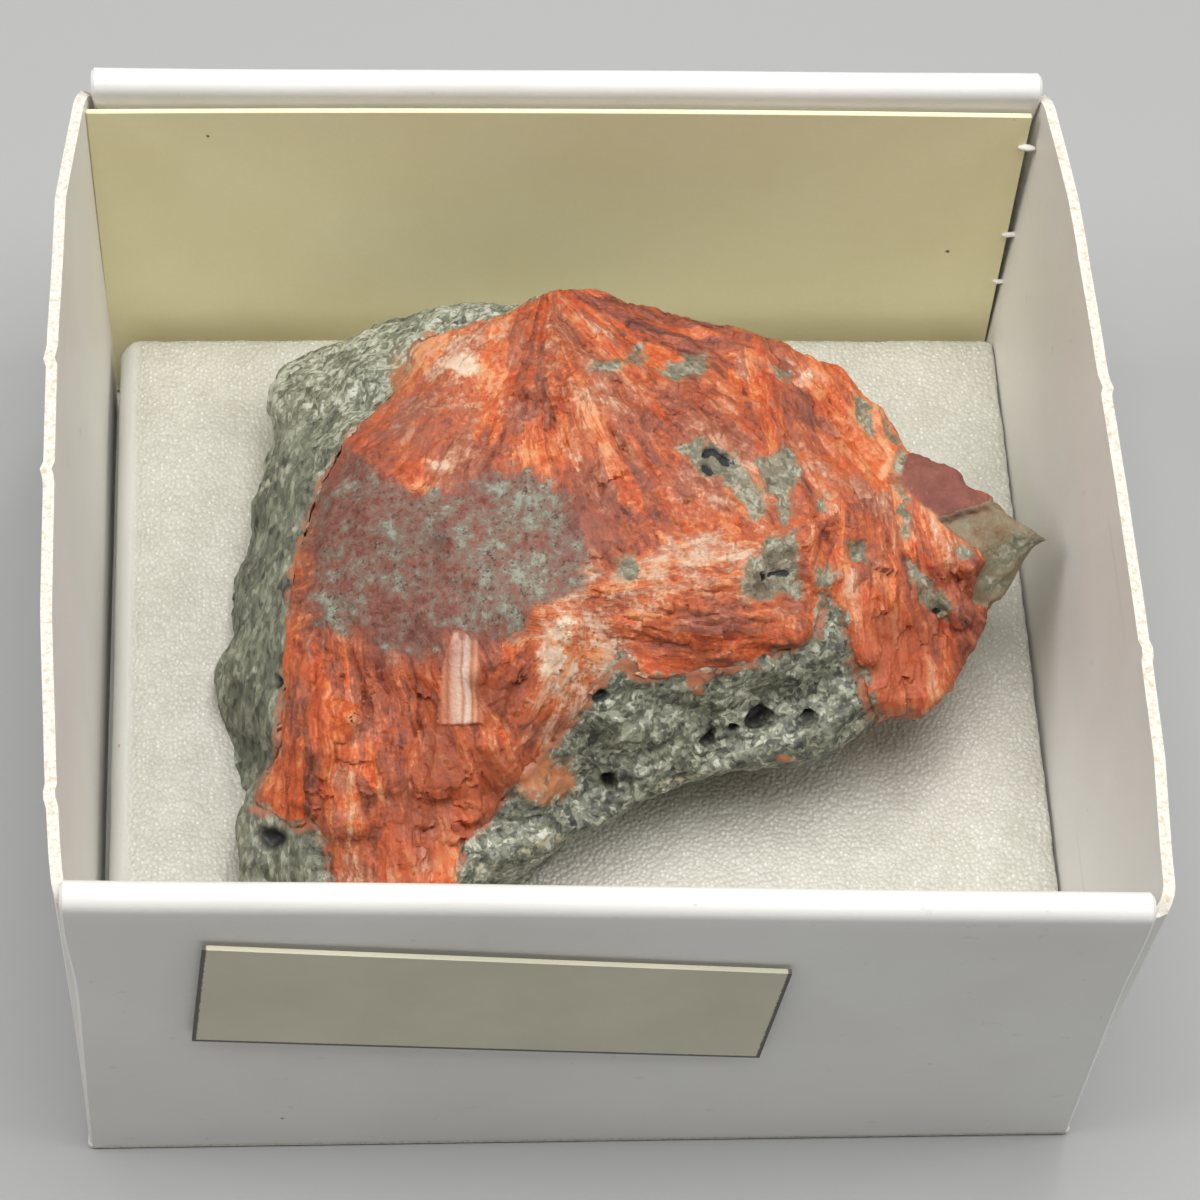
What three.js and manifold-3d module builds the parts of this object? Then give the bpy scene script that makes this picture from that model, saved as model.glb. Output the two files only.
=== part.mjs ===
// A hand specimen of stellerite: an orange-red crust of radiating crystal blades on grey rock,
// lying on a foam pad in a small folded card tray, with a name card behind it and a number
// sticker on the front wall. Millimetres, Z up, X to the right, Y away from the front wall.
// The origin is the centre of the tray's underside.

import * as THREE from "three";
import { ImprovedNoise } from "three/addons/math/ImprovedNoise.js";
import { mergeVertices } from "three/addons/utils/BufferGeometryUtils.js";
import Module from "manifold-3d";

const wasm = await Module();
wasm.setup();

const rad = THREE.MathUtils.degToRad;

// Tray, folded from one sheet of board
const traySide = 40;
const trayHeight = 20;
const board = 0.45;
const doubleWall = 1.3; // the front and back walls are folded over to double thickness
const sideWallTop = 19.3;
const foldInset = 0.05; // the walls rise this far in from the floor's edges
const leanFrom = 0.7; // and lean from this height up
const cornerSlit = 0.6; // the inner panels end this far short of the side walls
// How far each side wall leans out at its top, at even steps from the front corner to the back
const leftLean = [0.5, 0.95, 1.25, 1.33, 1.39, 1.28, 0.4];
const rightLean = [0.95, 1.3, 1.3, 1.22, 1.08, 0.9, 0.3];
const frontLeanLeft = 0.4; // the front wall's top leans in by this at its left end
const frontLeanRight = -0.6; // and out by this at its right end

// Foam pad on the tray's floor
const foamTop = 5.45;
const foamFront = -18.4;
const foamBack = 16.5;
const foamLeft = -18.45;
const foamRight = 19.3;
const foamSkew = 0.85; // its left side is cut on a slant, wider at the bottom

// Name card, leaning on the back wall
const cardWidth = 39;
const cardHeight = 18.2;
const cardThick = 0.25;
const cardFoot = { y: 17.2, z: 0.6 };
const cardLean = 3.6; // degrees back from upright

// Number sticker on the front wall
const stickerWidth = 22;
const stickerHeight = 7.3;
const stickerThick = 0.25;
const stickerCentre = { x: -4.35, z: 12.9 };
const stickerTilt = 4.2; // degrees clockwise
const stickerGap = 0.08;

// The specimen is described on the plane that its best side faces: across, up and out of it
const faceCentre = new THREE.Vector3(0.7, -2.1, 13);
const faceTilt = new THREE.Euler(rad(32.7), rad(-3.6), rad(-2.6), "ZYX");
const restHeight = foamTop + 0.05;
const tight = 0.3; // gap between crust and rock where one is cut to the other

// Rim of the specimen as that side shows it, counterclockwise from the upper left
const rim = [
  [-13.3, 9.7, -10], [-14, 7.2, -8.9], [-14.3, 5.5, -8.4], [-14.7, 1.8, -6.6], [-15.4, -0.9, -5.4],
  [-15.7, -3.4, -4.4], [-14.6, -5.1, -3.2], [-13.4, -6.5, -0.9], [-14.3, -8.4, 1], [-14.5, -10.6, 1.7],
  [-14.1, -12.5, 2.2], [-12, -14.1, 2.8], [-8.9, -14.6, 2.9], [-6.1, -13.4, 2.4], [-4.8, -11.4, 1.7],
  [-1.6, -9.7, 0.4], [0.8, -8.6, -0.5], [4, -7.3, -1], [8.1, -6.4, -1.9], [10.6, -5.6, -2.2],
  [11.6, -4.5, -2.1], [13.1, -4.3, -2.4], [14.1, -3.4, -2.4], [15.1, -1.7, -2.7], [16.4, 0.8, -2.9],
  [17.6, 1.6, -2.7], [18.1, 2.5, -2.6], [16.5, 3.3, -2.4], [14.7, 4.3, -2.6], [13.8, 5.4, -3.3],
  [12.7, 5.7, -3.6], [11.8, 7.1, -4.2], [10.7, 8.1, -4.2], [9.5, 9.4, -3.8], [7.8, 10, -3.4],
  [5.7, 11.1, -3.4], [1, 12.1, -3], [-1, 12.5, -2.8], [-2.9, 12.3, -3.5], [-6.9, 12.3, -6.8],
  [-9.1, 11.6, -7.9], [-11.1, 11, -9.2],
];

// Visible edge of the crust, from the top of the specimen down its left side to the front toe,
// then along the edge of the bare rock face to the right
const crustEdge = [
  [-2.1, 12.3, -3], [-4.1, 11.3, -2.4], [-7.6, 10.2, -2.6], [-7.8, 8.7, -1.7], [-10.1, 6.4, -1],
  [-11.5, 3.6, 0], [-12.2, 0, 1.4], [-12.3, -4, 2.1], [-12.5, -5.8, 2], [-13.5, -8, 1.6],
  [-11.9, -8.8, 2.7], [-11, -8.3, 3.1], [-10.5, -9.9, 3], [-10.1, -12.8, 3], [-6, -12.2, 2.4],
  [-5.7, -9.9, 2.4], [-3.3, -6.7, 3.4], [-1, -4.2, 3.5], [0.7, -1.9, 3.3], [1.6, -2.9, 3.3],
  [3.6, -2.7, 3], [6, -2.3, 2.5], [8.2, -1.4, 1.5], [8.5, 0.2, 1], [9.1, 0.5, 0.8],
  [10, -0.2, 0.8], [10.7, -3, -0.1], [11.5, -4.6, -1.5],
];
// The crust runs over the toe, round the right end and over the top, so its cut goes outside
const crustToe = [[-10.3, -17], [-6, -17]];
const crustRound = [[12.6, -8], [22, -5], [22, 6], [12, 11], [6, 15], [-1, 16]];
const crustToeAfter = 13; // crustEdge[13] is the last point before the toe
const crustBack = -5.5; // how far down the hidden back the crust reaches

// High and low points of the side that faces the viewer
const faceMarks = [
  [-5.9, 1.5, 4.2], [-1.6, 4.7, 2.6], [2, 7.2, 1.2], [4.8, 3.9, 1.9], [7.2, 1.5, 1.8],
  [3.9, 0, 3.5], [10.1, 4.8, -1.1], [12.2, 1.6, -1.3], [13, -0.9, -1.6], [0, 8.8, 0.7],
  [-4.8, 7.2, 0.9], [-1.6, -0.8, 4.6], [-5.5, -1.6, 5], [-2.4, -4, 3.9], [-6.3, -6.3, 3.9],
  [-8.7, -4, 3.2], [-10.3, -1.6, 3], [-7.9, -9.7, 3.6], [-8.5, -12.6, 3.5], [15.5, 1.8, -2],
];

// Where the specimen meets the foam: distance from its middle every 15 degrees, from the right
const footCentre = { x: -1, y: 0 };
const footReach = [
  13.5, 13.3, 13, 13, 13.2, 13.3, 13.3, 13.4, 13.5, 13.5, 13.4, 13.2,
  13.1, 13.3, 14.4, 17.6, 16.6, 13.4, 8.8, 7.2, 7, 7.8, 9.4, 12,
];

// Sprays of blades: where each radiates from, the way it opens and how far out its blades lie
const sprays = [
  { root: [-6.5, 2], from: -128, to: -62, near: 5, far: 12, blades: 18 },
  { root: [-3, 1], from: -20, to: 12, near: 5.5, far: 10, blades: 8 },
  { root: [-2.5, 7.5], from: -42, to: 4, near: 3, far: 11, blades: 15 },
  { root: [-3.5, 8], from: 12, to: 75, near: 1.5, far: 4, blades: 4 },
  { root: [8.5, 5.5], from: -76, to: -30, near: 2.5, far: 7.5, blades: 10 },
];
// Two long pale blades stand out below the dark patch: middle, direction, length and width
const paleBlades = [
  { at: [-5.7, -3.2], turn: -88, long: 3.6, wide: 0.9 },
  { at: [-2.2, -2.8], turn: -113, long: 4.4, wide: 0.9 },
];

// A split slab at the right end stands over the tip as a thin ledge
const ledge = [[12.5, 5.3], [14.3, 4.9], [14.9, 4], [16.5, 3.3], [13.8, 2.5], [12.8, 3.8]];
const ledgeOut = -2.9;
const ledgeThick = 0.9;

// Pits left by weathered grains in the bare rock: across, up and radius
const pits = [
  [6.5, -5, 0.55], [8.4, -5, 0.42], [4.3, -5.5, 0.35], [5.4, -5.4, 0.3], [1.4, -5.4, 0.3],
  [0.1, -4.2, 0.32], [0.4, -7.4, 0.3], [-13.3, -9.5, 0.5], [-12.9, -3.2, 0.3],
];

// Turns a closed geometry into a solid that can be joined and cut
function solidOf(geometry) {
  const bare = geometry.clone();
  bare.deleteAttribute("normal");
  bare.deleteAttribute("uv");
  const merged = mergeVertices(bare, 1e-4);
  const vertProperties = new Float32Array(merged.attributes.position.array);
  const triVerts = new Uint32Array(merged.index.array);
  return new wasm.Manifold(new wasm.Mesh({ numProp: 3, vertProperties, triVerts }));
}

// Turns a solid back into a geometry with flat facets
function geometryOf(solid) {
  const mesh = solid.getMesh();
  const indexed = new THREE.BufferGeometry();
  indexed.setAttribute("position", new THREE.BufferAttribute(mesh.vertProperties, 3));
  indexed.setIndex(new THREE.BufferAttribute(mesh.triVerts, 1));
  const flat = indexed.toNonIndexed();
  flat.computeVertexNormals();
  return flat;
}

// A closed surface through rows of points that run round it, ended by one point at each end
function lathed(firstPole, rows, lastPole) {
  const around = rows[0].length;
  const points = [firstPole, ...rows.flat(), lastPole];
  const corners = [];
  const at = (row, step) => 1 + row * around + (step % around);
  for (let step = 0; step < around; step++) {
    corners.push(0, at(0, step), at(0, step + 1));
    corners.push(at(rows.length - 1, step), points.length - 1, at(rows.length - 1, step + 1));
    for (let row = 0; row + 1 < rows.length; row++) {
      corners.push(at(row, step), at(row + 1, step), at(row + 1, step + 1));
      corners.push(at(row, step), at(row + 1, step + 1), at(row, step + 1));
    }
  }
  const geometry = new THREE.BufferGeometry().setFromPoints(points);
  geometry.setIndex(corners);
  return geometry;
}

// The value at an even spacing along a list, for a share between 0 and 1
function along(list, share) {
  const place = THREE.MathUtils.clamp(share, 0, 1) * (list.length - 1);
  const before = Math.min(Math.floor(place), list.length - 2);
  return THREE.MathUtils.lerp(list[before], list[before + 1], place - before);
}

// Leans what belongs to the tray's front wall, by the height of each of its points
function leanFront(geometry) {
  const place = geometry.attributes.position;
  const deepest = -traySide / 2 + doubleWall + 0.3;
  for (let i = 0; i < place.count; i++) {
    if (place.getY(i) > deepest) continue;
    const share = place.getX(i) / traySide + 0.5;
    const lean = THREE.MathUtils.lerp(frontLeanLeft, frontLeanRight, share);
    const height = Math.max(place.getZ(i) - leanFrom, 0);
    place.setY(i, place.getY(i) + (lean * height) / trayHeight);
  }
  return geometry;
}

// The front or back wall: board folded over at the top and down again inside
function foldedWall(facing) {
  const radius = doubleWall / 2;
  const section = new THREE.Shape();
  section.moveTo(-radius, board / 2);
  section.lineTo(radius, board / 2);
  section.lineTo(radius, leanFrom);
  section.lineTo(radius, trayHeight - radius);
  section.absarc(0, trayHeight - radius, radius, 0, Math.PI, false);
  section.lineTo(-radius, leanFrom);
  const length = traySide - 0.2;
  const wall = new THREE.ExtrudeGeometry(section, {
    depth: length,
    steps: 4,
    curveSegments: 6,
    bevelEnabled: false,
  });
  wall.translate(0, 0, -length / 2);
  const sideways = new THREE.Matrix4().makeBasis(
    new THREE.Vector3(0, 1, 0),
    new THREE.Vector3(0, 0, 1),
    new THREE.Vector3(1, 0, 0),
  );
  wall.applyMatrix4(sideways);
  wall.translate(0, facing * (traySide / 2 - foldInset - radius), 0);
  return wall;
}

// A side wall: one board whose ends turn in between the two layers of the front and back walls
function sideWall(side, leans) {
  const straight = traySide / 2 - foldInset - board / 2;
  const tab = traySide / 2 - doubleWall / 2;
  const plan = [];
  const add = (x, y, leanShare, top) => plan.push({ x, y, leanShare, top });
  add(straight - 1.6, -tab, 0, sideWallTop - 1.6);
  add(straight - 0.4, -tab, 0.6, sideWallTop - 1);
  add(straight, -tab + 0.4, 1, sideWallTop - 0.5);
  for (let y = -18; y <= 18; y += 4.5) add(straight, y, 1, sideWallTop);
  add(straight, tab - 0.4, 1, sideWallTop - 0.5);
  add(straight - 0.4, tab, 0.6, sideWallTop - 1);
  add(straight - 1.6, tab, 0, sideWallTop - 1.6);

  const levels = [-1, 0, 0.4, 0.75, 1]; // the first stands inside the floor
  const rows = plan.map((post, index) => {
    const before = plan[Math.max(index - 1, 0)];
    const after = plan[Math.min(index + 1, plan.length - 1)];
    const ahead = new THREE.Vector2(after.x - before.x, after.y - before.y).normalize();
    const lean = along(leans, post.y / traySide + 0.5) * post.leanShare;
    const point = (offset, level) => {
      const out = lean * Math.max(level, 0) ** 1.2;
      const x = post.x + out + ahead.y * offset;
      const height = level < 0 ? board / 2 : THREE.MathUtils.lerp(leanFrom, post.top, level);
      return new THREE.Vector3(side * x, post.y - ahead.x * offset, height);
    };
    const outside = levels.map((level) => point(board / 2, level));
    const inside = levels.map((level) => point(-board / 2, level)).reverse();
    return [...outside, ...inside];
  });
  const middle = (row) =>
    row.reduce((sum, p) => sum.add(p), new THREE.Vector3()).divideScalar(row.length);
  const wall = lathed(middle(rows[0]), rows, middle(rows[rows.length - 1]));
  if (side < 0) wall.index.array.reverse(); // the mirrored wall faces out too
  return wall;
}

function traySolid() {
  const floor = new THREE.BoxGeometry(traySide, traySide, board);
  floor.translate(0, 0, board / 2);
  let tray = solidOf(floor);
  tray = tray.add(solidOf(leanFront(foldedWall(-1))));
  tray = tray.add(solidOf(foldedWall(1)));
  tray = tray.add(solidOf(leanFront(sideWall(-1, leftLean))));
  tray = tray.add(solidOf(leanFront(sideWall(1, rightLean))));
  // Slits beside the inner panels, where they stop short of the side walls
  for (const side of [-1, 1]) {
    for (const end of [-1, 1]) {
      const slit = new THREE.BoxGeometry(cornerSlit, 2 * board, sideWallTop - 1.5);
      const x = side * (traySide / 2 - board - cornerSlit / 2);
      slit.translate(x, end * (traySide / 2 - doubleWall), board + sideWallTop / 2);
      tray = tray.subtract(solidOf(leanFront(slit)));
    }
  }
  return tray;
}

function foamSolid() {
  const section = new THREE.Shape();
  section.moveTo(foamLeft - foamSkew, board + 0.05);
  section.lineTo(foamRight, board + 0.05);
  section.lineTo(foamRight, foamTop);
  section.lineTo(foamLeft, foamTop);
  const pad = new THREE.ExtrudeGeometry(section, {
    depth: foamBack - foamFront,
    bevelEnabled: false,
  });
  pad.rotateX(Math.PI / 2);
  pad.translate(0, foamBack, 0);
  return pad;
}

const faceMatrix = new THREE.Matrix4().makeRotationFromEuler(faceTilt).setPosition(faceCentre);
const faceOut = new THREE.Vector3(0, 0, 1).transformDirection(faceMatrix);
const grain = new ImprovedNoise();

// Solves a full set of linear equations by elimination, largest pivot first
function solved(matrix, values) {
  const size = values.length;
  const rows = matrix.map((row, i) => [...row, values[i]]);
  for (let col = 0; col < size; col++) {
    let best = col;
    for (let row = col; row < size; row++) {
      if (Math.abs(rows[row][col]) > Math.abs(rows[best][col])) best = row;
    }
    [rows[col], rows[best]] = [rows[best], rows[col]];
    for (let row = 0; row < size; row++) {
      if (row === col) continue;
      const share = rows[row][col] / rows[col][col];
      for (let k = col; k <= size; k++) rows[row][k] -= share * rows[col][k];
    }
  }
  return rows.map((row, i) => row[size] / row[i]);
}

// A thin plate bent through the marked points: gives the distance out at any place on the face
function thinPlate(marks) {
  const bend = (du, dv) => {
    const square = du * du + dv * dv;
    return square > 0 ? square * Math.log(square) : 0;
  };
  const flat = ([u, v]) => [1, u, v];
  const matrix = marks.map((p) => [
    ...marks.map((q) => bend(p[0] - q[0], p[1] - q[1])),
    ...flat(p),
  ]);
  for (let k = 0; k < 3; k++) matrix.push([...marks.map((q) => flat(q)[k]), 0, 0, 0]);
  const weights = solved(matrix, [...marks.map((p) => p[2]), 0, 0, 0]);
  return (u, v) => {
    const terms = [...marks.map((q) => bend(u - q[0], v - q[1])), ...flat([u, v])];
    return terms.reduce((sum, term, i) => sum + term * weights[i], 0);
  };
}

const faceHeight = thinPlate([...rim, ...crustEdge.slice(1, -1), ...faceMarks]);

// Whether a place on the face lies within a closed outline
function within(outline, u, v) {
  let inside = false;
  outline.forEach(([u1, v1], i) => {
    const [u2, v2] = outline[(i + 1) % outline.length];
    if (v1 > v !== v2 > v && u < u1 + ((u2 - u1) * (v - v1)) / (v2 - v1)) inside = !inside;
  });
  return inside;
}

const crustOutline = [
  ...crustEdge.slice(0, crustToeAfter + 1),
  ...crustToe,
  ...crustEdge.slice(crustToeAfter + 1),
  ...crustRound,
].map(([u, v]) => [u, v]);

// Fibres of the crust fan out from the nearest spray; the rock is lumpy all ways
function roughness(u, v, w) {
  const lumps = grain.noise(u / 2.4, v / 2.4, w / 2.4);
  if (!within(crustOutline, u, v)) return 0.5 * lumps + 0.35 * grain.noise(u, v, w);
  const distance = ({ root }) => Math.hypot(u - root[0], v - root[1]);
  const spray = sprays.reduce((near, next) => (distance(next) < distance(near) ? next : near));
  const turn = Math.atan2(v - spray.root[1], u - spray.root[0]);
  const spread = Math.min(distance(spray) / 7, 1);
  return 0.4 * lumps + 0.5 * spread * grain.noise(turn * 6, distance(spray) * 0.2, 3);
}

// The whole specimen as one lump: rings from the middle of its face out to the rim, then from
// the rim down the hidden sides to the foot on the foam
function lump(around, faceRings, sideRings, rough) {
  const curve = new THREE.CatmullRomCurve3(
    rim.map((p) => new THREE.Vector3(...p)),
    true,
    "centripetal",
  );
  const rimPoints = curve.getSpacedPoints(around).slice(0, around);
  const middle = new THREE.Vector3(-1.5, 0, faceHeight(-1.5, 0));
  const rows = [];
  for (let ring = 1; ring <= faceRings; ring++) {
    const share = Math.sin(((ring / faceRings) * Math.PI) / 2.2) / Math.sin(Math.PI / 2.2);
    rows.push(
      rimPoints.map((edge) => {
        const p = middle.clone().lerp(edge, share);
        if (ring < faceRings) p.z = faceHeight(p.x, p.y);
        return p.applyMatrix4(faceMatrix);
      }),
    );
  }
  const worldRim = rows[rows.length - 1];
  const foot = worldRim.map((p) => {
    const turn = Math.atan2(p.y - footCentre.y, p.x - footCentre.x);
    const reach = along([...footReach, footReach[0]], (turn / (2 * Math.PI) + 1) % 1);
    const x = footCentre.x + reach * Math.cos(turn);
    const y = footCentre.y + reach * Math.sin(turn);
    return new THREE.Vector3(x, y, restHeight);
  });
  const drops = worldRim.map((edge, i) => {
    const drop = (0.6 * (edge.z - restHeight)) / faceOut.z;
    const turnIn = edge.clone().addScaledVector(faceOut, -drop);
    return new THREE.QuadraticBezierCurve3(edge, turnIn, foot[i]);
  });
  for (let ring = 1; ring <= sideRings; ring++) {
    rows.push(drops.map((drop) => drop.getPoint(ring / sideRings)));
  }
  const under = new THREE.Vector3(footCentre.x, footCentre.y, restHeight);
  rows.push(foot.map((p) => p.clone().lerp(under, 0.4)));

  const surface = lathed(middle.clone().applyMatrix4(faceMatrix), rows, under);
  surface.computeVertexNormals();
  const place = surface.attributes.position;
  const intoFace = faceMatrix.clone().invert();
  for (let i = 0; i < place.count; i++) {
    const p = new THREE.Vector3().fromBufferAttribute(place, i);
    if (p.z <= restHeight + 0.01) continue;
    const out = new THREE.Vector3().fromBufferAttribute(surface.attributes.normal, i);
    const face = p.clone().applyMatrix4(intoFace);
    p.addScaledVector(out, rough * roughness(face.x, face.y, face.z));
    place.setXYZ(i, p.x, p.y, Math.max(p.z, restHeight));
  }
  return surface;
}

// A straight-sided block cut from the face to the back along an outline on the face
function faceBlock(outline, back, front) {
  const shape = new THREE.Shape(outline.map(([u, v]) => new THREE.Vector2(u, v)));
  const block = new THREE.ExtrudeGeometry(shape, { depth: front - back, bevelEnabled: false });
  block.translate(0, 0, back);
  return block.applyMatrix4(faceMatrix);
}

// An outline moved outwards all round
function grown(outline, by) {
  return outline.map(([u, v], i) => {
    const before = outline[(i + outline.length - 1) % outline.length];
    const after = outline[(i + 1) % outline.length];
    const ahead = new THREE.Vector2(after[0] - before[0], after[1] - before[1]).normalize();
    return [u + by * ahead.y, v - by * ahead.x];
  });
}

// One flat-sided blade lying on the face, its far end lifted a little and tapered
function blade(u, v, turn, long, wide, thick, lift) {
  const du = Math.cos(turn);
  const dv = Math.sin(turn);
  const step = 0.3;
  const rise = (faceHeight(u + du * step, v + dv * step) - faceHeight(u, v)) / step;
  const fall = (faceHeight(u - dv * step, v + du * step) - faceHeight(u, v)) / step;
  const ahead = new THREE.Vector3(du, dv, rise + lift).normalize();
  const across = new THREE.Vector3(-dv, du, fall).normalize();
  const out = new THREE.Vector3().crossVectors(ahead, across).normalize();
  const side = new THREE.Vector3().crossVectors(ahead, out);
  const lath = new THREE.CylinderGeometry(0.42, 0.71, long, 4, 1, false, Math.PI / 4);
  lath.scale(wide, 1, thick);
  lath.applyMatrix4(new THREE.Matrix4().makeBasis(side, ahead, out));
  lath.translate(u, v, faceHeight(u, v) - 0.3);
  return lath.applyMatrix4(faceMatrix);
}

function bladeSolids() {
  const solids = [];
  let seed = 7;
  const random = () => {
    seed = (seed * 16807) % 2147483647;
    return seed / 2147483647;
  };
  for (const spray of sprays) {
    for (let i = 0; i < spray.blades; i++) {
      const turn = rad(THREE.MathUtils.lerp(spray.from, spray.to, (i + random()) / spray.blades));
      const far = THREE.MathUtils.lerp(spray.near, spray.far, random());
      const u = spray.root[0] + far * Math.cos(turn);
      const v = spray.root[1] + far * Math.sin(turn);
      const long = 2.6 + 2.6 * random();
      const wide = 0.8 + 0.7 * random();
      const lift = 0.08 + 0.12 * random();
      const reach = far + long / 2 + 0.8;
      const end = [spray.root[0] + reach * Math.cos(turn), spray.root[1] + reach * Math.sin(turn)];
      if (!within(rim, ...end)) continue;
      solids.push(solidOf(blade(u, v, turn, long, wide, 1.3, lift)));
    }
  }
  for (const { at, turn, long, wide } of paleBlades) {
    solids.push(solidOf(blade(...at, rad(turn), long, wide, 1.6, 0.1)));
  }
  return solids;
}

function specimenSolids() {
  const body = solidOf(lump(68, 9, 5, 1)).add(
    solidOf(faceBlock(ledge, ledgeOut - ledgeThick, ledgeOut)),
  );
  // The heart of rock under the crust: the same lump without its roughness, shrunk to the foot
  const heart = (smaller) => {
    const shape = lump(30, 4, 3, 0);
    shape.translate(-footCentre.x, -footCentre.y, -restHeight);
    shape.scale(0.88 - smaller / 15, 0.86 - smaller / 12, 0.84 - smaller / 11);
    shape.translate(footCentre.x, footCentre.y, restHeight);
    return solidOf(shape);
  };
  const front = 15;
  const cut = solidOf(faceBlock(crustOutline, crustBack, front));
  const cutWider = solidOf(faceBlock(grown(crustOutline, tight), crustBack - tight, front + 1));

  let crust = body;
  for (const lath of bladeSolids()) crust = crust.add(lath);
  crust = crust.intersect(cut).subtract(heart(0));

  let rock = body.subtract(cutWider.subtract(heart(tight)));
  for (const [u, v, radius] of pits) {
    const pit = new THREE.IcosahedronGeometry(radius, 0);
    pit.translate(u, v, faceHeight(u, v) + 0.1);
    rock = rock.subtract(solidOf(pit.applyMatrix4(faceMatrix)));
  }
  return { crust, rock };
}

function named(name, geometry, color, roughness) {
  const material = new THREE.MeshStandardMaterial({ color, roughness, metalness: 0 });
  material.flatShading = true;
  const mesh = new THREE.Mesh(geometry, material);
  mesh.name = name;
  return mesh;
}

function labelCard() {
  const plate = new THREE.BoxGeometry(cardWidth, cardThick, cardHeight);
  plate.translate(0, 0, cardHeight / 2);
  const card = named("label_card", plate, 0xd9cfa0, 0.7);
  card.position.set(0, cardFoot.y, cardFoot.z);
  card.rotation.x = -rad(cardLean);
  return card;
}

function numberSticker() {
  const plate = new THREE.BoxGeometry(stickerWidth, stickerThick, stickerHeight, 4, 1, 1);
  plate.rotateY(rad(stickerTilt));
  const front = -traySide / 2 - stickerGap - stickerThick / 2;
  plate.translate(stickerCentre.x, front, stickerCentre.z);
  return named("number_sticker", leanFront(plate), 0xd8d2b8, 0.7);
}

const { crust, rock } = specimenSolids();
const specimen = new THREE.Group();
specimen.add(named("matrix_rock", geometryOf(rock), 0x7d8478, 0.85));
specimen.add(named("stellerite_crust", geometryOf(crust), 0xc8502a, 0.45));

const group = new THREE.Group();
group.add(named("tray", geometryOf(traySolid()), 0xe8e6e2, 0.6));
group.add(named("foam_pad", foamSolid(), 0xf1efe8, 0.8));
group.add(labelCard());
group.add(numberSticker());
group.add(specimen);

export default group;
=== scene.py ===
import math

import bmesh
import bpy
import numpy as np
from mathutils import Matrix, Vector
from mathutils.bvhtree import BVHTree
from mathutils.kdtree import KDTree


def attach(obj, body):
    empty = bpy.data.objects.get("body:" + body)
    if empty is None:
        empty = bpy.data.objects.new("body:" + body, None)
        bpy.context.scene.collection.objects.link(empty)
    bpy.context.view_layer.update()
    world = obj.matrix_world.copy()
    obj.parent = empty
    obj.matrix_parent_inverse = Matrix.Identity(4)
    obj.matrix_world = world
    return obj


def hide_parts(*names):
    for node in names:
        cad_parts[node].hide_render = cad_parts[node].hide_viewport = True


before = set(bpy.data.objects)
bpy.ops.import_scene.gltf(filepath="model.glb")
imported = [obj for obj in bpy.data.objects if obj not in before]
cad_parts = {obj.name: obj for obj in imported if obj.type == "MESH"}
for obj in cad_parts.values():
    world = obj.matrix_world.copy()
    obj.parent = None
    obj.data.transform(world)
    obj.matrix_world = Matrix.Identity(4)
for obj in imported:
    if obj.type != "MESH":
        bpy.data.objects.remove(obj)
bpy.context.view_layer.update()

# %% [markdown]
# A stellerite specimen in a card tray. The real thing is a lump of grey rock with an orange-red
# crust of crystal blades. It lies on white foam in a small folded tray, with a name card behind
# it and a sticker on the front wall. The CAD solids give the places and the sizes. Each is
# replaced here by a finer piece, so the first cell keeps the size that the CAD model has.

MM = 0.001
rng = np.random.default_rng(11)

# %% [markdown]
# The camera stands where the photographer's stood. It is high above the front wall and looks
# down at 57 degrees. A long lens keeps the tray's sides almost parallel, as they are in the
# photograph. The same camera also says where any point of the object falls in the picture,
# which places the colour zones of the specimen later on.

# %% Camera
PHOTO_SIDE = 1200
SENSOR = 36.0
FOCAL_PIXELS = 4044.8
bpy.ops.object.select_all(action="DESELECT")
bpy.ops.object.camera_add(
    location=(-11.79 * MM, -89.59 * MM, 149.91 * MM),
    rotation=(math.radians(32.66), math.radians(-3.56), math.radians(-2.58)),
)
camera = bpy.context.object
camera.data.sensor_width = SENSOR
camera.data.lens = FOCAL_PIXELS * SENSOR / PHOTO_SIDE
camera.data.clip_start = 0.01
bpy.context.scene.camera = camera
bpy.context.view_layer.update()
VIEW_TURN = np.array(camera.matrix_world.to_3x3())
VIEW_FROM = np.array(camera.matrix_world.translation) / MM


def in_photo(points):
    """Photo pixels of points in mm, one row (across, down) each"""
    seen = (points - VIEW_FROM) @ VIEW_TURN
    return PHOTO_SIDE / 2 + FOCAL_PIXELS * np.stack([seen[:, 0], -seen[:, 1]], axis=1) / -seen[:, 2:]


print("the tray's middle is at pixel", in_photo(np.array([[0.0, 0.0, 0.0]])).round(1))

# %% [markdown]
# Light in the photograph is soft and comes from straight above: the front wall is in shade and
# the specimen's upper side is bright. One wide lamp overhead does that. Two weaker ones at the
# sides lift the shade inside the walls, a small one behind gives the crystals their glints, and
# a pale sky fills the rest.

# %% Lights and floor
LAMPS = [
    # name, place in metres, size, power
    ("key", (0.0, 0.0, 0.52), 0.34, 2.25),
    ("left", (-0.33, -0.03, 0.36), 0.22, 0.8),
    ("right", (0.33, -0.03, 0.36), 0.22, 0.75),
    ("glint", (0.10, 0.24, 0.42), 0.07, 0.3),
]
SKY_COLOUR = (0.93, 0.96, 1.0, 1.0)
SKY_STRENGTH = 0.12
FLOOR_SIDE = 1.6
FLOOR_BELOW = 0.02
for name, place, size, power in LAMPS:
    bpy.ops.object.light_add(type="AREA", location=place)
    lamp = bpy.context.object
    lamp.name = name
    lamp.data.size = size
    lamp.data.energy = power
    lamp.rotation_euler = (-Vector(place)).to_track_quat("-Z", "Y").to_euler()
world = bpy.data.worlds.new("pale_sky")
bpy.context.scene.world = world
world.use_nodes = True
sky = world.node_tree.nodes["Background"]
sky.inputs["Color"].default_value = SKY_COLOUR
sky.inputs["Strength"].default_value = SKY_STRENGTH
bpy.context.scene.view_settings.view_transform = "Standard"
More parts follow.
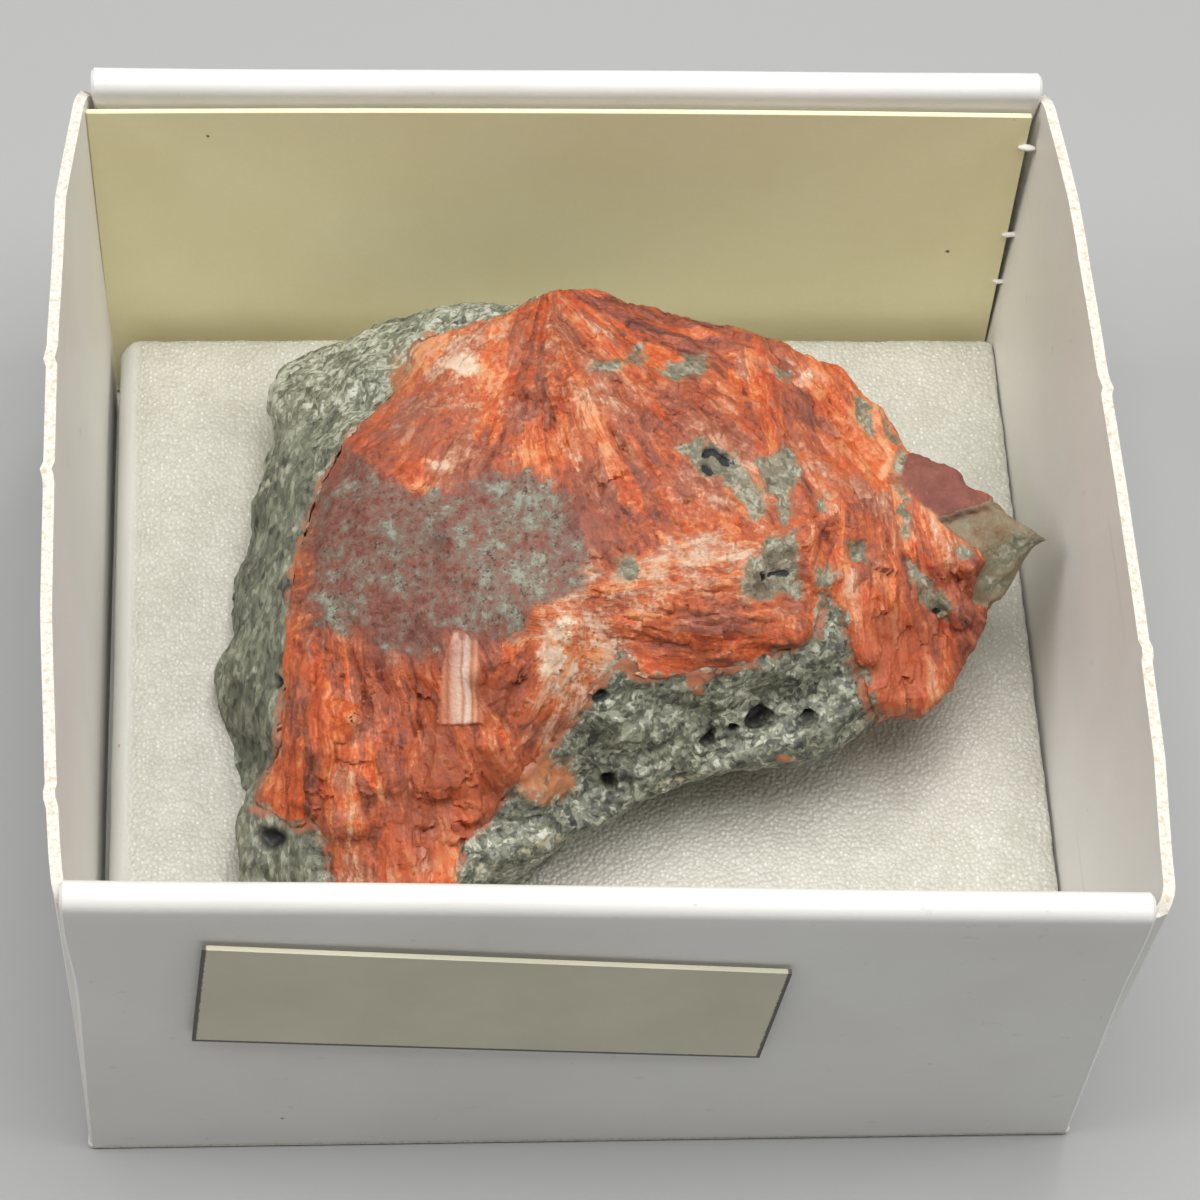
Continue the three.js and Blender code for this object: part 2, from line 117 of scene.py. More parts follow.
bpy.ops.mesh.primitive_plane_add(size=FLOOR_SIDE, location=(0, 0, -FLOOR_BELOW * MM))
floor = bpy.context.object
floor.name = "floor"
print(len(LAMPS), "lamps stand around a floor", FLOOR_SIDE, "m wide")

# %% [markdown]
# Materials are made of nodes. These helpers keep each recipe short: one adds a node with its
# settings, and the others are for the joins that come back all the time, such as a mix of two
# colours or a ramp from one to the next.

# %% Helpers for materials


def srgb(red, green, blue):
    """A colour given as the 0 to 255 values of a colour picker"""
    linear = [((v / 255 + 0.055) / 1.055) ** 2.4 for v in (red, green, blue)]
    return (*linear, 1.0)


def new_material(name):
    material = bpy.data.materials.new(name)
    material.use_nodes = True
    return material, material.node_tree, material.node_tree.nodes["Principled BSDF"]


def plug(tree, socket, value):
    if isinstance(value, bpy.types.NodeSocket):
        tree.links.new(value, socket)
    else:
        socket.default_value = value


def node(tree, kind, inputs=None, **settings):
    made = tree.nodes.new("ShaderNode" + kind)
    for key, value in settings.items():
        setattr(made, key, value)
    for key, value in (inputs or {}).items():
        plug(tree, made.inputs[key], value)
    return made


def maths(tree, operation, first, second=0.0, third=0.0):
    values = {0: first, 1: second}
    if operation == "MULTIPLY_ADD":
        values[2] = third
    return node(tree, "Math", values, operation=operation).outputs[0]


def times(tree, first, second):
    return maths(tree, "MULTIPLY", first, second)


def times_plus(tree, first, second, third):
    """The first two multiplied, and the third added"""
    return maths(tree, "MULTIPLY_ADD", first, second, third)


def mix(tree, share, first, second):
    """Two colours mixed"""
    return node(tree, "Mix", {0: share, 6: first, 7: second}, data_type="RGBA").outputs[2]


def mix_value(tree, share, first, second):
    return node(tree, "Mix", {0: share, 2: first, 3: second}, data_type="FLOAT").outputs[0]


def ramp(tree, value, stops):
    """Colours or greys at places from 0 to 1 along a value"""
    made = node(tree, "ValToRGB", {"Fac": value})
    made.color_ramp.elements[0].position = stops[0][0]
    made.color_ramp.elements[1].position = stops[-1][0]
    for place, _ in stops[1:-1]:
        made.color_ramp.elements.new(place)
    for element, (_, colour) in zip(made.color_ramp.elements, stops):
        element.color = colour if isinstance(colour, tuple) else (colour, colour, colour, 1.0)
    return made.outputs["Color"]


def object_place(tree, scale=(1.0, 1.0, 1.0), turn=(0.0, 0.0, 0.0)):
    place = node(tree, "TexCoord").outputs["Object"]
    made = node(tree, "Mapping", {"Vector": place, "Scale": scale, "Rotation": turn})
    return made.outputs["Vector"]


def noise(tree, place, per_metre, detail=3.0, rough=0.55):
    inputs = {"Vector": place, "Scale": per_metre, "Detail": detail, "Roughness": rough}
    return node(tree, "TexNoise", inputs).outputs["Fac"]


def own_value(tree, name):
    return node(tree, "Attribute", attribute_name=name).outputs["Fac"]


SPOT_GRAIN = 5000


def spots(tree, places, radius):
    """1 within a radius of any of some places, all in mm"""
    place = object_place(tree)
    ragged_edge = noise(tree, place, SPOT_GRAIN, 3, 0.7)
    found = 0.0
    for spot in places:
        away = node(tree, "VectorMath", {0: place, 1: [v * MM for v in spot]}, operation="DISTANCE")
        far = times(tree, away.outputs["Value"], 1 / (radius * MM))
        far = maths(tree, "ADD", far, ragged_edge)
        found = maths(tree, "MAXIMUM", ramp(tree, far, [(0.8, 1.0), (1.0, 0.0)]), found)
    return found


def bump(tree, height, distance, strength):
    inputs = {"Height": height, "Distance": distance, "Strength": strength}
    return node(tree, "Bump", inputs).outputs["Normal"]


# %% Floor material
floor_material, tree, shader = new_material("plain_floor")
shader.inputs["Base Color"].default_value = (0.37, 0.37, 0.365, 1.0)
shader.inputs["Roughness"].default_value = 0.75
floor.data.materials.append(floor_material)

# %% [markdown]
# Meshes are shaped as by hand, so these helpers do what a hand does between two tools: leave
# everything alone but one piece, start it as a box or a grid, select its faces or edges by
# their place, and lay a finished modifier down into the mesh. The last ones are smooth steps
# and smooth noise, for the unevenness that real things have.

# %% Helpers for shaping


def only(piece):
    if bpy.context.object and bpy.context.object.mode != "OBJECT":
        bpy.ops.object.mode_set(mode="OBJECT")
    bpy.ops.object.select_all(action="DESELECT")
    piece.select_set(True)
    bpy.context.view_layer.objects.active = piece


def settle(piece, name):
    """Names a piece and puts its place into its mesh"""
    only(piece)
    bpy.ops.object.transform_apply(location=True, rotation=True, scale=True)
    piece.name = name
    piece.data.name = name
    return piece


def pick(piece, kind, test):
    """Goes to edit mode with the faces or edges selected whose middle passes the test, in mm"""
    only(piece)
    bpy.ops.object.mode_set(mode="EDIT")
    bpy.ops.mesh.select_mode(type=kind)
    bpy.ops.mesh.select_all(action="DESELECT")
    mesh = bmesh.from_edit_mesh(piece.data)
    parts = mesh.faces if kind == "FACE" else mesh.edges
    for part in parts:
        middle = sum((v.co for v in part.verts), Vector()) / len(part.verts) / MM
        part.select_set(bool(test(middle)))
    mesh.select_flush_mode()
    bmesh.update_edit_mesh(piece.data)


def edit_all(piece):
    """Goes to edit mode with everything selected"""
    only(piece)
    bpy.ops.object.mode_set(mode="EDIT")
    bpy.ops.mesh.select_all(action="SELECT")


def done():
    bpy.ops.object.mode_set(mode="OBJECT")


def new_box(name, middle, size):
    """A box round a middle, both in mm"""
    bpy.ops.object.select_all(action="DESELECT")
    bpy.ops.mesh.primitive_cube_add(
        size=1, location=[v * MM for v in middle], scale=[v * MM for v in size]
    )
    return settle(bpy.context.object, name)


def new_grid(name, middle, size, faces, turn=(0, 0, 0)):
    """A flat grid of faces, in mm, turned by angles in degrees

    Its size is set as a scale afterwards, because the operator takes only one size.
    """
    bpy.ops.object.select_all(action="DESELECT")
    bpy.ops.mesh.primitive_grid_add(
        x_subdivisions=faces[0],
        y_subdivisions=faces[1],
        size=1,
        location=[v * MM for v in middle],
        rotation=[math.radians(v) for v in turn],
    )
    bpy.context.object.scale = (size[0] * MM, size[1] * MM, 1)
    return settle(bpy.context.object, name)


def modify(piece, kind, **settings):
    """Adds a modifier and applies it at once"""
    only(piece)
    added = piece.modifiers.new(kind.lower(), kind)
    for key, value in settings.items():
        setattr(added, key, value)
    bpy.ops.object.modifier_apply(modifier=added.name)


def get_points(piece):
    flat = np.empty(len(piece.data.vertices) * 3)
    piece.data.vertices.foreach_get("co", flat)
    return flat.reshape(-1, 3) / MM


def set_points(piece, points):
    piece.data.vertices.foreach_set("co", (points * MM).ravel())
    piece.data.update()


def store(piece, name, values):
    if values.ndim == 1:
        piece.data.attributes.new(name, "FLOAT", "POINT").data.foreach_set("value", values)
    else:
        piece.data.attributes.new(name, "FLOAT_VECTOR", "POINT").data.foreach_set(
            "vector", values.ravel()
        )


def get_normals(piece):
    flat = np.empty(len(piece.data.vertices) * 3)
    piece.data.vertex_normals.foreach_get("vector", flat)
    return flat.reshape(-1, 3)


def step(low, high, value):
    """0 below low, 1 above high and a smooth rise between them"""
    share = np.clip((value - low) / (high - low), 0.0, 1.0)
    return share * share * (3 - 2 * share)


def lumps(points, size, seed):
    """Smooth noise from -1 to 1 at points in mm, with cells of that size"""
    place = points / size + seed * 7.31
    cell = np.floor(place).astype(np.int64)
    share = place - cell
    share = share * share * (3 - 2 * share)
    total = np.zeros(len(points))
    for corner in np.ndindex(2, 2, 2):
        at = cell + corner
        mixed = (at[:, 0] * 73856093) ^ (at[:, 1] * 19349663) ^ (at[:, 2] * 83492791) ^ (seed * 977)
        mixed = ((mixed ^ (mixed >> 13)) * 1274126177) & 0x7FFFFFFF
        value = ((mixed ^ (mixed >> 15)) & 0xFFFF) / 32767.5 - 1
        weight = np.ones(len(points))
        for axis in range(3):
            weight *= share[:, axis] if corner[axis] else 1 - share[:, axis]
        total += weight * value
    return total


def rough_lumps(points, size, seed, layers=3):
    return sum(lumps(points, size / 2**i, seed + i) / 2**i for i in range(layers)) / 1.5


def finish_piece(piece, slot, *nodes):
    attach(piece, "root")
    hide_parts(*nodes)
    piece.data.calc_loop_triangles()
    print(piece.name, "has", len(piece.data.loop_triangles), "triangles")


# %% [markdown]
# The tray is cut from one sheet of white lined board, 0.45 mm thick. Its front and back walls
# are folded over to double thickness, so their tops are soft rolls, and the two side walls are
# single and show their raw cut edge. Years of handling made the side walls bulge outwards. The
# thickness comes last, from Solidify, so that it is the same everywhere.

# %% Measures of the tray
TRAY = 40.0
HEIGHT = 20.0
BOARD = 0.45
# A double wall's thickness is also twice the radius of the roll along its top
DOUBLE = 1.3
ROLL = DOUBLE / 2
SIDE_TOP = 19.3
# How far the walls start inside the tray's square
FOLD_IN = 0.05
# From this height up the walls lean. The side walls bulge: how far, from front to back
LEAN_FROM = 0.7
LEFT_LEAN = [0.5, 0.95, 1.25, 1.33, 1.39, 1.28, 0.4]
RIGHT_LEAN = [0.95, 1.3, 1.3, 1.22, 1.08, 0.9, 0.3]
# How far the front wall leans in at its left end and at its right end, and over what depth
FRONT_LEAN = (0.4, -0.6)
FRONT_ZONE = (1.6, 3.2)
# Height and length of the waves in handled board, on double and on single walls
DOUBLE_WAVE = (0.05, 9.0)
SINGLE_WAVE = (0.06, 8.0)
# Edges closer than this to a line are taken to lie on it
EXACT = 0.01


def lean_front(points):
    """Leans the points of the front wall in at its left end and out at its right"""
    share = points[:, 0] / TRAY + 0.5
    lean = FRONT_LEAN[0] + (FRONT_LEAN[1] - FRONT_LEAN[0]) * share
    near = 1 - step(-TRAY / 2 + FRONT_ZONE[0], -TRAY / 2 + FRONT_ZONE[1], points[:, 1])
    points[:, 1] += near * lean * np.maximum(points[:, 2] - LEAN_FROM, 0) / HEIGHT
    return points


def wavy(points, amount, size, seed):
    """Slight unevenness of handled board"""
    for axis in range(2):
        points[:, axis] += amount * lumps(points, size, seed + axis)
    return points


print("a tray of", TRAY, "x", TRAY, "x", HEIGHT, "mm, of board", BOARD, "mm thick")

# %% [markdown]
# The front and back walls each start as an upright grid. The board of the real ones turns over
# at the top and comes down again inside. Spinning the grid's top edge round a line makes that
# roll, and extruding the far edge downwards makes the inner panel.

# %% Front and back walls
DOUBLE_FACES = (100, 24)
DOUBLE_SHORT = 0.25
ROLL_STEPS = 10
INNER_STEPS = 16
# The inner panel stops short of the side walls, by a share of its length
INNER_SHORT = 0.018
INNER_FROM = 3.0
# How far the front roll reaches over the side walls, at the left and at the right
ROLL_REACH = (0.28, 0.12)
ROLL_ZONE = (13.0, 18.5)
walls = []
for facing, name in ((-1, "front_wall"), (1, "back_wall")):
    outside = facing * (TRAY / 2 - FOLD_IN)
    inside = outside - facing * DOUBLE
    wall = new_grid(
        name,
        middle=(0, outside, (HEIGHT - ROLL + BOARD / 2) / 2),
        size=(TRAY - DOUBLE_SHORT, HEIGHT - ROLL - BOARD / 2),
        faces=DOUBLE_FACES,
        turn=(90, 0, 0),
    )
    pick(wall, "EDGE", lambda p: p.z > HEIGHT - ROLL - EXACT)
    bpy.ops.mesh.spin(
        steps=ROLL_STEPS,
        angle=-math.radians(180) * facing,
        center=(0, (outside - facing * ROLL) * MM, (HEIGHT - ROLL) * MM),
        axis=(1, 0, 0),
    )
    pick(wall, "EDGE", lambda p: abs(p.y - inside) < EXACT and abs(p.z - HEIGHT + ROLL) < EXACT)
    down = -(HEIGHT - ROLL - BOARD) / INNER_STEPS * MM
    for _ in range(INNER_STEPS):
        bpy.ops.mesh.extrude_edges_move(TRANSFORM_OT_translate={"value": (0, 0, down)})
    bpy.ops.mesh.select_all(action="SELECT")
    bpy.ops.mesh.remove_doubles(threshold=EXACT * MM)
    bpy.ops.mesh.normals_make_consistent(inside=False)
    done()
    points = get_points(wall)
    inner = np.abs(points[:, 1] - inside) < 10 * EXACT
    below_roll = np.clip((HEIGHT - ROLL - points[:, 2]) / INNER_FROM, 0, 1) * inner
    points[:, 0] *= 1 - INNER_SHORT * below_roll
    if facing < 0:
        by_roll = step(*ROLL_ZONE, points[:, 2])
        points[:, 0] += by_roll * np.where(points[:, 0] < 0, *ROLL_REACH) * points[:, 0] / (TRAY / 2)
        points = lean_front(points)
    set_points(wall, wavy(points, *DOUBLE_WAVE, 3 + facing))
    walls.append(wall)
    print(name, "has", len(points), "points")

# %% [markdown]
# A side wall is a single sheet. Its two ends are turned in between the layers of the front and
# back walls, so they are extruded round a small bend. Then the sheet bulges, its corners dive
# under the rolls, and its cut top gets nicks and a few torn fibres.

# %% Side walls
SINGLE_FACES = (110, 32)
SINGLE_SHORT = 1.3
# The bend at each end, strip by strip: the angle in degrees and the length
END_STRIPS = ((20, 0.35), (45, 0.35), (70, 0.35), (90, 0.5), (90, 0.5))
END_SQUASH = 0.3
END_DEPTH = 0.9
# The top corners: where they start, how long they are, how far they dive at the front and back
CORNER_DIVE_FROM = 18.4
CORNER_DIVE_LONG = 1.2
CORNER_DIVE = (0.32, 0.62)
# They are also pulled in, each by its own amount
CORNER_PULL_FROM = 18.2
CORNER_PULL_LONG = 1.4
CORNER_PULL = {"left": (0.25, 0.2), "right": (0.5, 0.25)}
# The cut along the top, and where fibres stick out of it: height, length, places
NICKS = (0.05, 1.6)
NICKS_DOWN = 0.02
TORN_OUT = 0.16
TORN_LONG = 0.22
TORN = {"left": (5.4, -0.1, -14.6), "right": (4.0, -8.6)}
for side, leans, name in ((-1, LEFT_LEAN, "left"), (1, RIGHT_LEAN, "right")):
    straight = TRAY / 2 - FOLD_IN
    wall = new_grid(
        name + "_wall",
        middle=(side * straight, 0, (SIDE_TOP + BOARD / 2) / 2),
        size=(TRAY - SINGLE_SHORT, SIDE_TOP - BOARD / 2),
        faces=SINGLE_FACES,
        turn=(90, 0, 90),
    )
    for end in (-1, 1):
        pick(wall, "EDGE", lambda p: p.y * end > (TRAY - SINGLE_SHORT) / 2 - EXACT)
        for angle, length in END_STRIPS:
            turn = math.radians(angle)
            inward = -side * math.sin(turn) * length * MM
            onward = end * math.cos(turn) * END_SQUASH * length * MM
            bpy.ops.mesh.extrude_edges_move(TRANSFORM_OT_translate={"value": (inward, onward, 0)})
    done()
    points = get_points(wall)
    lean = np.interp(points[:, 1] / TRAY + 0.5, np.linspace(0, 1, len(leans)), leans)
    turned = np.clip((straight - np.abs(points[:, 0])) / END_DEPTH, 0, 1)
    tall = np.clip((points[:, 2] - LEAN_FROM) / (SIDE_TOP - LEAN_FROM), 0, 1)
    points[:, 0] += side * lean * (1 - turned) * tall**1.2
    at_front = points[:, 1] < 0
    corner = np.clip((np.abs(points[:, 1]) - CORNER_DIVE_FROM) / CORNER_DIVE_LONG, 0, 1) + turned
    points[:, 2] -= np.where(at_front, *CORNER_DIVE) * np.clip(corner, 0, 2) ** 1.5 * tall**4
    corner = np.clip((np.abs(points[:, 1]) - CORNER_PULL_FROM) / CORNER_PULL_LONG, 0, 1)
    points[:, 0] -= side * np.where(at_front, *CORNER_PULL[name]) * corner**2 * tall
    points = lean_front(points)
    nicks = NICKS[0] * rough_lumps(points, NICKS[1], 21 + side) - NICKS_DOWN
    points[:, 2] += nicks * tall**8
    for at in TORN[name]:
        fibre = np.exp(-(((points[:, 1] - at) / TORN_LONG) ** 2))
        points[:, 0] += side * TORN_OUT * fibre * tall**14
    set_points(wall, wavy(points, *SINGLE_WAVE, 13 + side))
    walls.append(wall)
    print(wall.name, "bulges by up to", max(leans), "mm")

# %% [markdown]
# Lined board is bright and slightly glossy outside, with fine scratches and a little dirt, and
# its raw edge is yellowish pulp between two thin white liners. Two materials do this. The walls
# get both before their thickness, because Solidify can then give the edge the second one, and
# a small bevel that stays white stands for the liners.

# %% Board materials
BOARD_SPECKS = [(-17.36, -20.3, 18.9), (-12.2, -20.0, 2.6)]
board_white, tree, shader = new_material("tray_liner")
place = object_place(tree)
cloud = noise(tree, place, 60, 4)
fine = noise(tree, place, 3500, 3)
base_colour = ramp(tree, cloud, [(0.3, srgb(226, 223, 216)), (0.7, srgb(240, 239, 234))])
hair = noise(tree, object_place(tree, (900, 60, 2200), (0.2, 0.1, 0.4)), 1.0, 2)
scratch = ramp(tree, hair, [(0.70, 0.0), (0.74, 1.0)])
dirt = ramp(tree, noise(tree, place, 900, 5, 0.7), [(0.66, 0.0), (0.74, 1.0)])
colour = mix(tree, times(tree, scratch, 0.18), base_colour, srgb(190, 187, 180))
colour = mix(tree, times(tree, dirt, 0.28), colour, srgb(150, 140, 125))
colour = mix(tree, spots(tree, BOARD_SPECKS, 0.24), colour, srgb(120, 116, 110))
tree.links.new(colour, shader.inputs["Base Color"])
rough = ramp(tree, cloud, [(0.2, 0.42), (0.8, 0.58)])
tree.links.new(rough, shader.inputs["Roughness"])
tree.links.new(bump(tree, fine, 0.02 * MM, 0.5), shader.inputs["Normal"])

board_core, tree, shader = new_material("tray_raw_edge")
pulp = noise(tree, object_place(tree), 4200, 4, 0.7)
colour = ramp(
    tree, pulp, [(0.3, srgb(198, 182, 154)), (0.42, srgb(214, 204, 186)), (0.52, srgb(227, 221, 211))]
)
tree.links.new(colour, shader.inputs["Base Color"])
shader.inputs["Roughness"].default_value = 0.9
tree.links.new(bump(tree, pulp, 0.08 * MM, 0.8), shader.inputs["Normal"])

# %% Floor of the tray
FLOOR_SHORT = 0.1
FLOOR_FACES = (40, 40)
size = TRAY - FLOOR_SHORT
walls.append(new_grid("tray_floor", middle=(0, 0, 0), size=(size, size), faces=FLOOR_FACES))
print("the tray has", len(walls), "sheets")

# %% [markdown]
# Every sheet has its outer liner on its face, so the thickness grows inwards from it. A sheet
# whose faces point inwards is turned over first.

# %% Thickness and edges
OUTWARD = {
    "front_wall": (0, -1, 0), "back_wall": (0, 1, 0), "left_wall": (-1, 0, 0),
    "right_wall": (1, 0, 0), "tray_floor": (0, 0, -1),
}
LINER = 0.13
for wall in walls:
    facing = Vector(OUTWARD[wall.name])
    wall.data.materials.append(board_white)
    wall.data.materials.append(board_core)
    outer = max(wall.data.polygons, key=lambda face: face.center.dot(facing))
    if outer.normal.dot(facing) < 0:
        edit_all(wall)
        bpy.ops.mesh.flip_normals()
        done()
    modify(
        wall, "SOLIDIFY",
        thickness=BOARD * MM, offset=-1, use_even_offset=True, material_offset_rim=1, use_rim=True,
    )
    modify(
        wall, "BEVEL",
        width=LINER * MM, segments=1, limit_method="ANGLE", angle_limit=math.radians(50), material=0,
    )
    print(wall.name, "is", [round(v / MM, 2) for v in wall.dimensions])

# %% [markdown]
# Where the board was torn, a few white fibres stick out, three at the back of the right wall and
# one at its front. Each is a small ball drawn out to a shred and roughened with noise.

# %% Torn fibres
FIBRE_RADIUS = 0.14
FIBRE_ROUGH = (0.05, 0.16)
FIBRES = [
    # across, back, up, length
    (19.5, 18.0, 17.0, 0.75), (19.6, 17.7, 11.4, 0.7), (19.65, 17.5, 8.3, 0.8),
    (20.1, -19.95, 18.95, 0.45),
]
for number, (across, back, up, length) in enumerate(FIBRES):
    bpy.ops.object.select_all(action="DESELECT")
    bpy.ops.mesh.primitive_ico_sphere_add(
        subdivisions=3, radius=FIBRE_RADIUS * MM, location=(across * MM, back * MM, up * MM)
    )
    bpy.context.object.scale = (length / (2 * FIBRE_RADIUS), 1, 0.8)
    fibre = settle(bpy.context.object, "fibre")
    points = get_points(fibre)
    rough = FIBRE_ROUGH[0] * lumps(points, FIBRE_ROUGH[1], 90 + number)
    set_points(fibre, points + get_normals(fibre) * rough[:, None])
    fibre.data.materials.append(board_white)
    walls.append(fibre)
print(len(FIBRES), "fibres are up to", max(fibre[3] for fibre in FIBRES), "mm long")

# %% One tray
only(walls[0])
for wall in walls:
    wall.select_set(True)
bpy.ops.object.join()
tray = settle(bpy.context.object, "card_tray")
bpy.ops.object.shade_smooth_by_angle(angle=math.radians(35))
finish_piece(tray, "tray_board", "tray")

# %% [markdown]
# The foam pad is a slab of white polyethylene foam, cut with a slant on its left side. It is
# remeshed so that it has points everywhere, and its skin is moved by noise of the beads' size.

# %% Foam pad
FOAM_LOW = 0.5
FOAM_TOP = 5.45
FOAM_X = (-18.45, 19.3)
FOAM_Y = (-18.4, 16.5)
FOAM_EDGE = 0.25
FOAM_VOXEL = 0.24
# The left side was cut on a slant, which leaves a smooth shoulder along the top, bright partly
# from its flatter slope and partly from painted light in the foam's colour
FOAM_SKEW = 0.85
CUT_ZONE = (-18.4, -18.1)
SKEW_ZONE = (-18.3, -17.6)
# The right side widens a little towards the top
RIGHT_FLARE = 0.34
FLARE_ZONE = (18.6, 19.2)
# Height and size of the beads and of the wide dents
BEADS = (0.03, 0.34)
DENTS = (0.03, 2.6)
foam = new_box(
    "foam_slab",
    middle=(sum(FOAM_X) / 2, sum(FOAM_Y) / 2, (FOAM_LOW + FOAM_TOP) / 2),
    size=(FOAM_X[1] - FOAM_X[0], FOAM_Y[1] - FOAM_Y[0], FOAM_TOP - FOAM_LOW),
)
pick(foam, "EDGE", lambda p: p.z > FOAM_TOP - EXACT)
bpy.ops.mesh.bevel(offset=FOAM_EDGE * MM, segments=2)
done()
modify(foam, "REMESH", mode="VOXEL", voxel_size=FOAM_VOXEL * MM)
points = get_points(foam)
normals = get_normals(foam)
slant = (FOAM_TOP - points[:, 2]) / (FOAM_TOP - FOAM_LOW)
shoulder = np.clip(slant * 5, 0, 1) ** 0.6 * 0.8 + 0.2 * slant
cut = 1 - step(*CUT_ZONE, points[:, 0])
points[:, 0] -= FOAM_SKEW * shoulder * (1 - step(*SKEW_ZONE, points[:, 0]))
points[:, 0] += RIGHT_FLARE * (1 - slant) * step(*FLARE_ZONE, points[:, 0])
store(foam, "cut", cut)
bead = (1 - cut) * BEADS[0] * lumps(points, BEADS[1], 5) + DENTS[0] * lumps(points, DENTS[1], 6)
bead[points[:, 2] < FOAM_LOW + 10 * EXACT] = 0
points += normals * bead[:, None]
set_points(foam, points)
print("the foam is", [round(v / MM, 1) for v in foam.dimensions])

# %% [markdown]
# Close up the foam's skin is a mass of tiny glassy beads, and some of them catch the light. A
# Voronoi pattern gives each bead a round top and a random value of its own, and the tops of some
# beads get a painted highlight for that light. Two crumbs fell off the crust, and two dark specks
# lie at the right edge.

# %% Foam material
BEADS_PER_METRE = 5400
FOAM_CRUMBS = [(-19.15, -3.8, 4.9), (-18.95, -4.1, 5.1)]
FOAM_SPECKS = [(19.6, -9.3, 5.3), (19.62, -9.5, 5.2)]
foam_white, tree, shader = new_material("foam_skin")
place = object_place(tree)
bubbles = node(tree, "TexVoronoi", {"Vector": place, "Scale": BEADS_PER_METRE}, feature="F1")
round_top = times_plus(tree, bubbles.outputs["Distance"], -1.0, 1.0)
glint = node(tree, "SeparateColor", {0: bubbles.outputs["Color"]}).outputs[0]
tint = noise(tree, place, 700, 3)
colour = ramp(tree, tint, [(0.3, srgb(196, 193, 180)), (0.7, srgb(206, 204, 192))])
# A painted highlight: the round tops of some beads are mixed towards near white
painted_bead_highlight = times(
    tree,
    ramp(tree, glint, [(0.5, 0.0), (1.0, 0.8)]),
    ramp(tree, round_top, [(0.5, 0.0), (0.85, 1.0)]),
)
colour = mix(tree, painted_bead_highlight, colour, srgb(242, 241, 235))
# Painted light: the slanted cut face is painted paler than the skin, for a face that the left wall
# shades
colour = mix(tree, own_value(tree, "cut"), colour, srgb(224, 223, 216))
colour = mix(tree, spots(tree, FOAM_CRUMBS, 0.3), colour, srgb(206, 120, 84))
colour = mix(tree, spots(tree, FOAM_SPECKS, 0.2), colour, srgb(66, 56, 46))
uncut = maths(tree, "SUBTRACT", 1.0, own_value(tree, "cut"))
tree.links.new(colour, shader.inputs["Base Color"])
shader.inputs["Roughness"].default_value = 0.32
shader.inputs["Subsurface Weight"].default_value = 0.25
shader.inputs["Subsurface Radius"].default_value = (1.0, 0.95, 0.85)
shader.inputs["Subsurface Scale"].default_value = 0.4 * MM
tree.links.new(bump(tree, times(tree, round_top, uncut), 0.1 * MM, 0.8), shader.inputs["Normal"])
foam.data.materials.append(foam_white)
only(foam)
bpy.ops.object.shade_smooth()
finish_piece(foam, "foam", "foam_pad")

# %% [markdown]
# The name card leans on the back wall behind the foam. It is a sheet of thin cream card, cut by
# hand, so its edge is paler than its face and it isn't quite flat. It starts as a thin box with
# enough faces to curl a little.

# %% Name card
CARD = (39.0, 0.25, 18.2)
CARD_FOOT = (0.0, 17.2, 0.6)
CARD_LEAN = 3.6
CARD_EDGE = 0.04
CARD_CUTS = 24
# Its left edge was cut on a slight slant, wider at the top, and its top is a little bowed
LEFT_SLANT = 0.6
TOP_BOW = 0.16
card = new_box("name_card", middle=(0, 0, CARD[2] / 2), size=CARD)
edit_all(card)
bpy.ops.mesh.bevel(offset=CARD_EDGE * MM, segments=1)
bpy.ops.mesh.subdivide(number_cuts=CARD_CUTS)
bpy.ops.transform.rotate(
    value=math.radians(CARD_LEAN), orient_axis="X", center_override=(0, 0, 0)
)
bpy.ops.transform.translate(value=[v * MM for v in CARD_FOOT])
done()
points = get_points(card)
half = CARD[0] / 2
points[:, 0] -= LEFT_SLANT * np.clip(-points[:, 0] / half, 0, 1) ** 4 * points[:, 2] / CARD[2]
points[:, 2] += TOP_BOW * (1 - (points[:, 0] / half) ** 2) * points[:, 2] / CARD[2]
lean_now = np.polyfit(points[:, 2], points[:, 1], 1)[0]
print("the card leans back by", round(math.degrees(math.atan(lean_now)), 2), "degrees")
set_points(card, points)

# %% [markdown]
# The card's paper has yellowed unevenly, with fine fibres and a few dark specks. It is dull, so
# all it needs is a cloudy colour and a very faint bump.

# %% Card material
PAPER_FIBRES_PER_METRE = 5200
PAPER_BUMP = (0.02, 0.5)
CARD_SPECKS = [(-15.1, 18.2, 17.4), (18.75, 18.3, 18.6), (17.0, 17.7, 10.2)]
card_paper, tree, shader = new_material("cream_card")
place = object_place(tree)
cloud = noise(tree, place, 220, 4)
fibre = noise(tree, place, PAPER_FIBRES_PER_METRE, 3)
colour = ramp(tree, cloud, [(0.25, srgb(252, 241, 192)), (0.75, srgb(255, 247, 203))])
colour = mix(tree, times(tree, fibre, 0.1), colour, srgb(204, 192, 150))
colour = mix(tree, spots(tree, CARD_SPECKS, 0.22), colour, srgb(112, 98, 74))
tree.links.new(colour, shader.inputs["Base Color"])
shader.inputs["Roughness"].default_value = 0.75
tree.links.new(bump(tree, fibre, PAPER_BUMP[0] * MM, PAPER_BUMP[1]), shader.inputs["Normal"])
card.data.materials.append(card_paper)
finish_piece(card, "label_paper", "label_card")

# %% [markdown]
# The sticker on the front wall is a slip of thin paper, stuck on a little crooked. It carries
# only the thin printed line along its edge. It follows the lean of the wall that it is on.

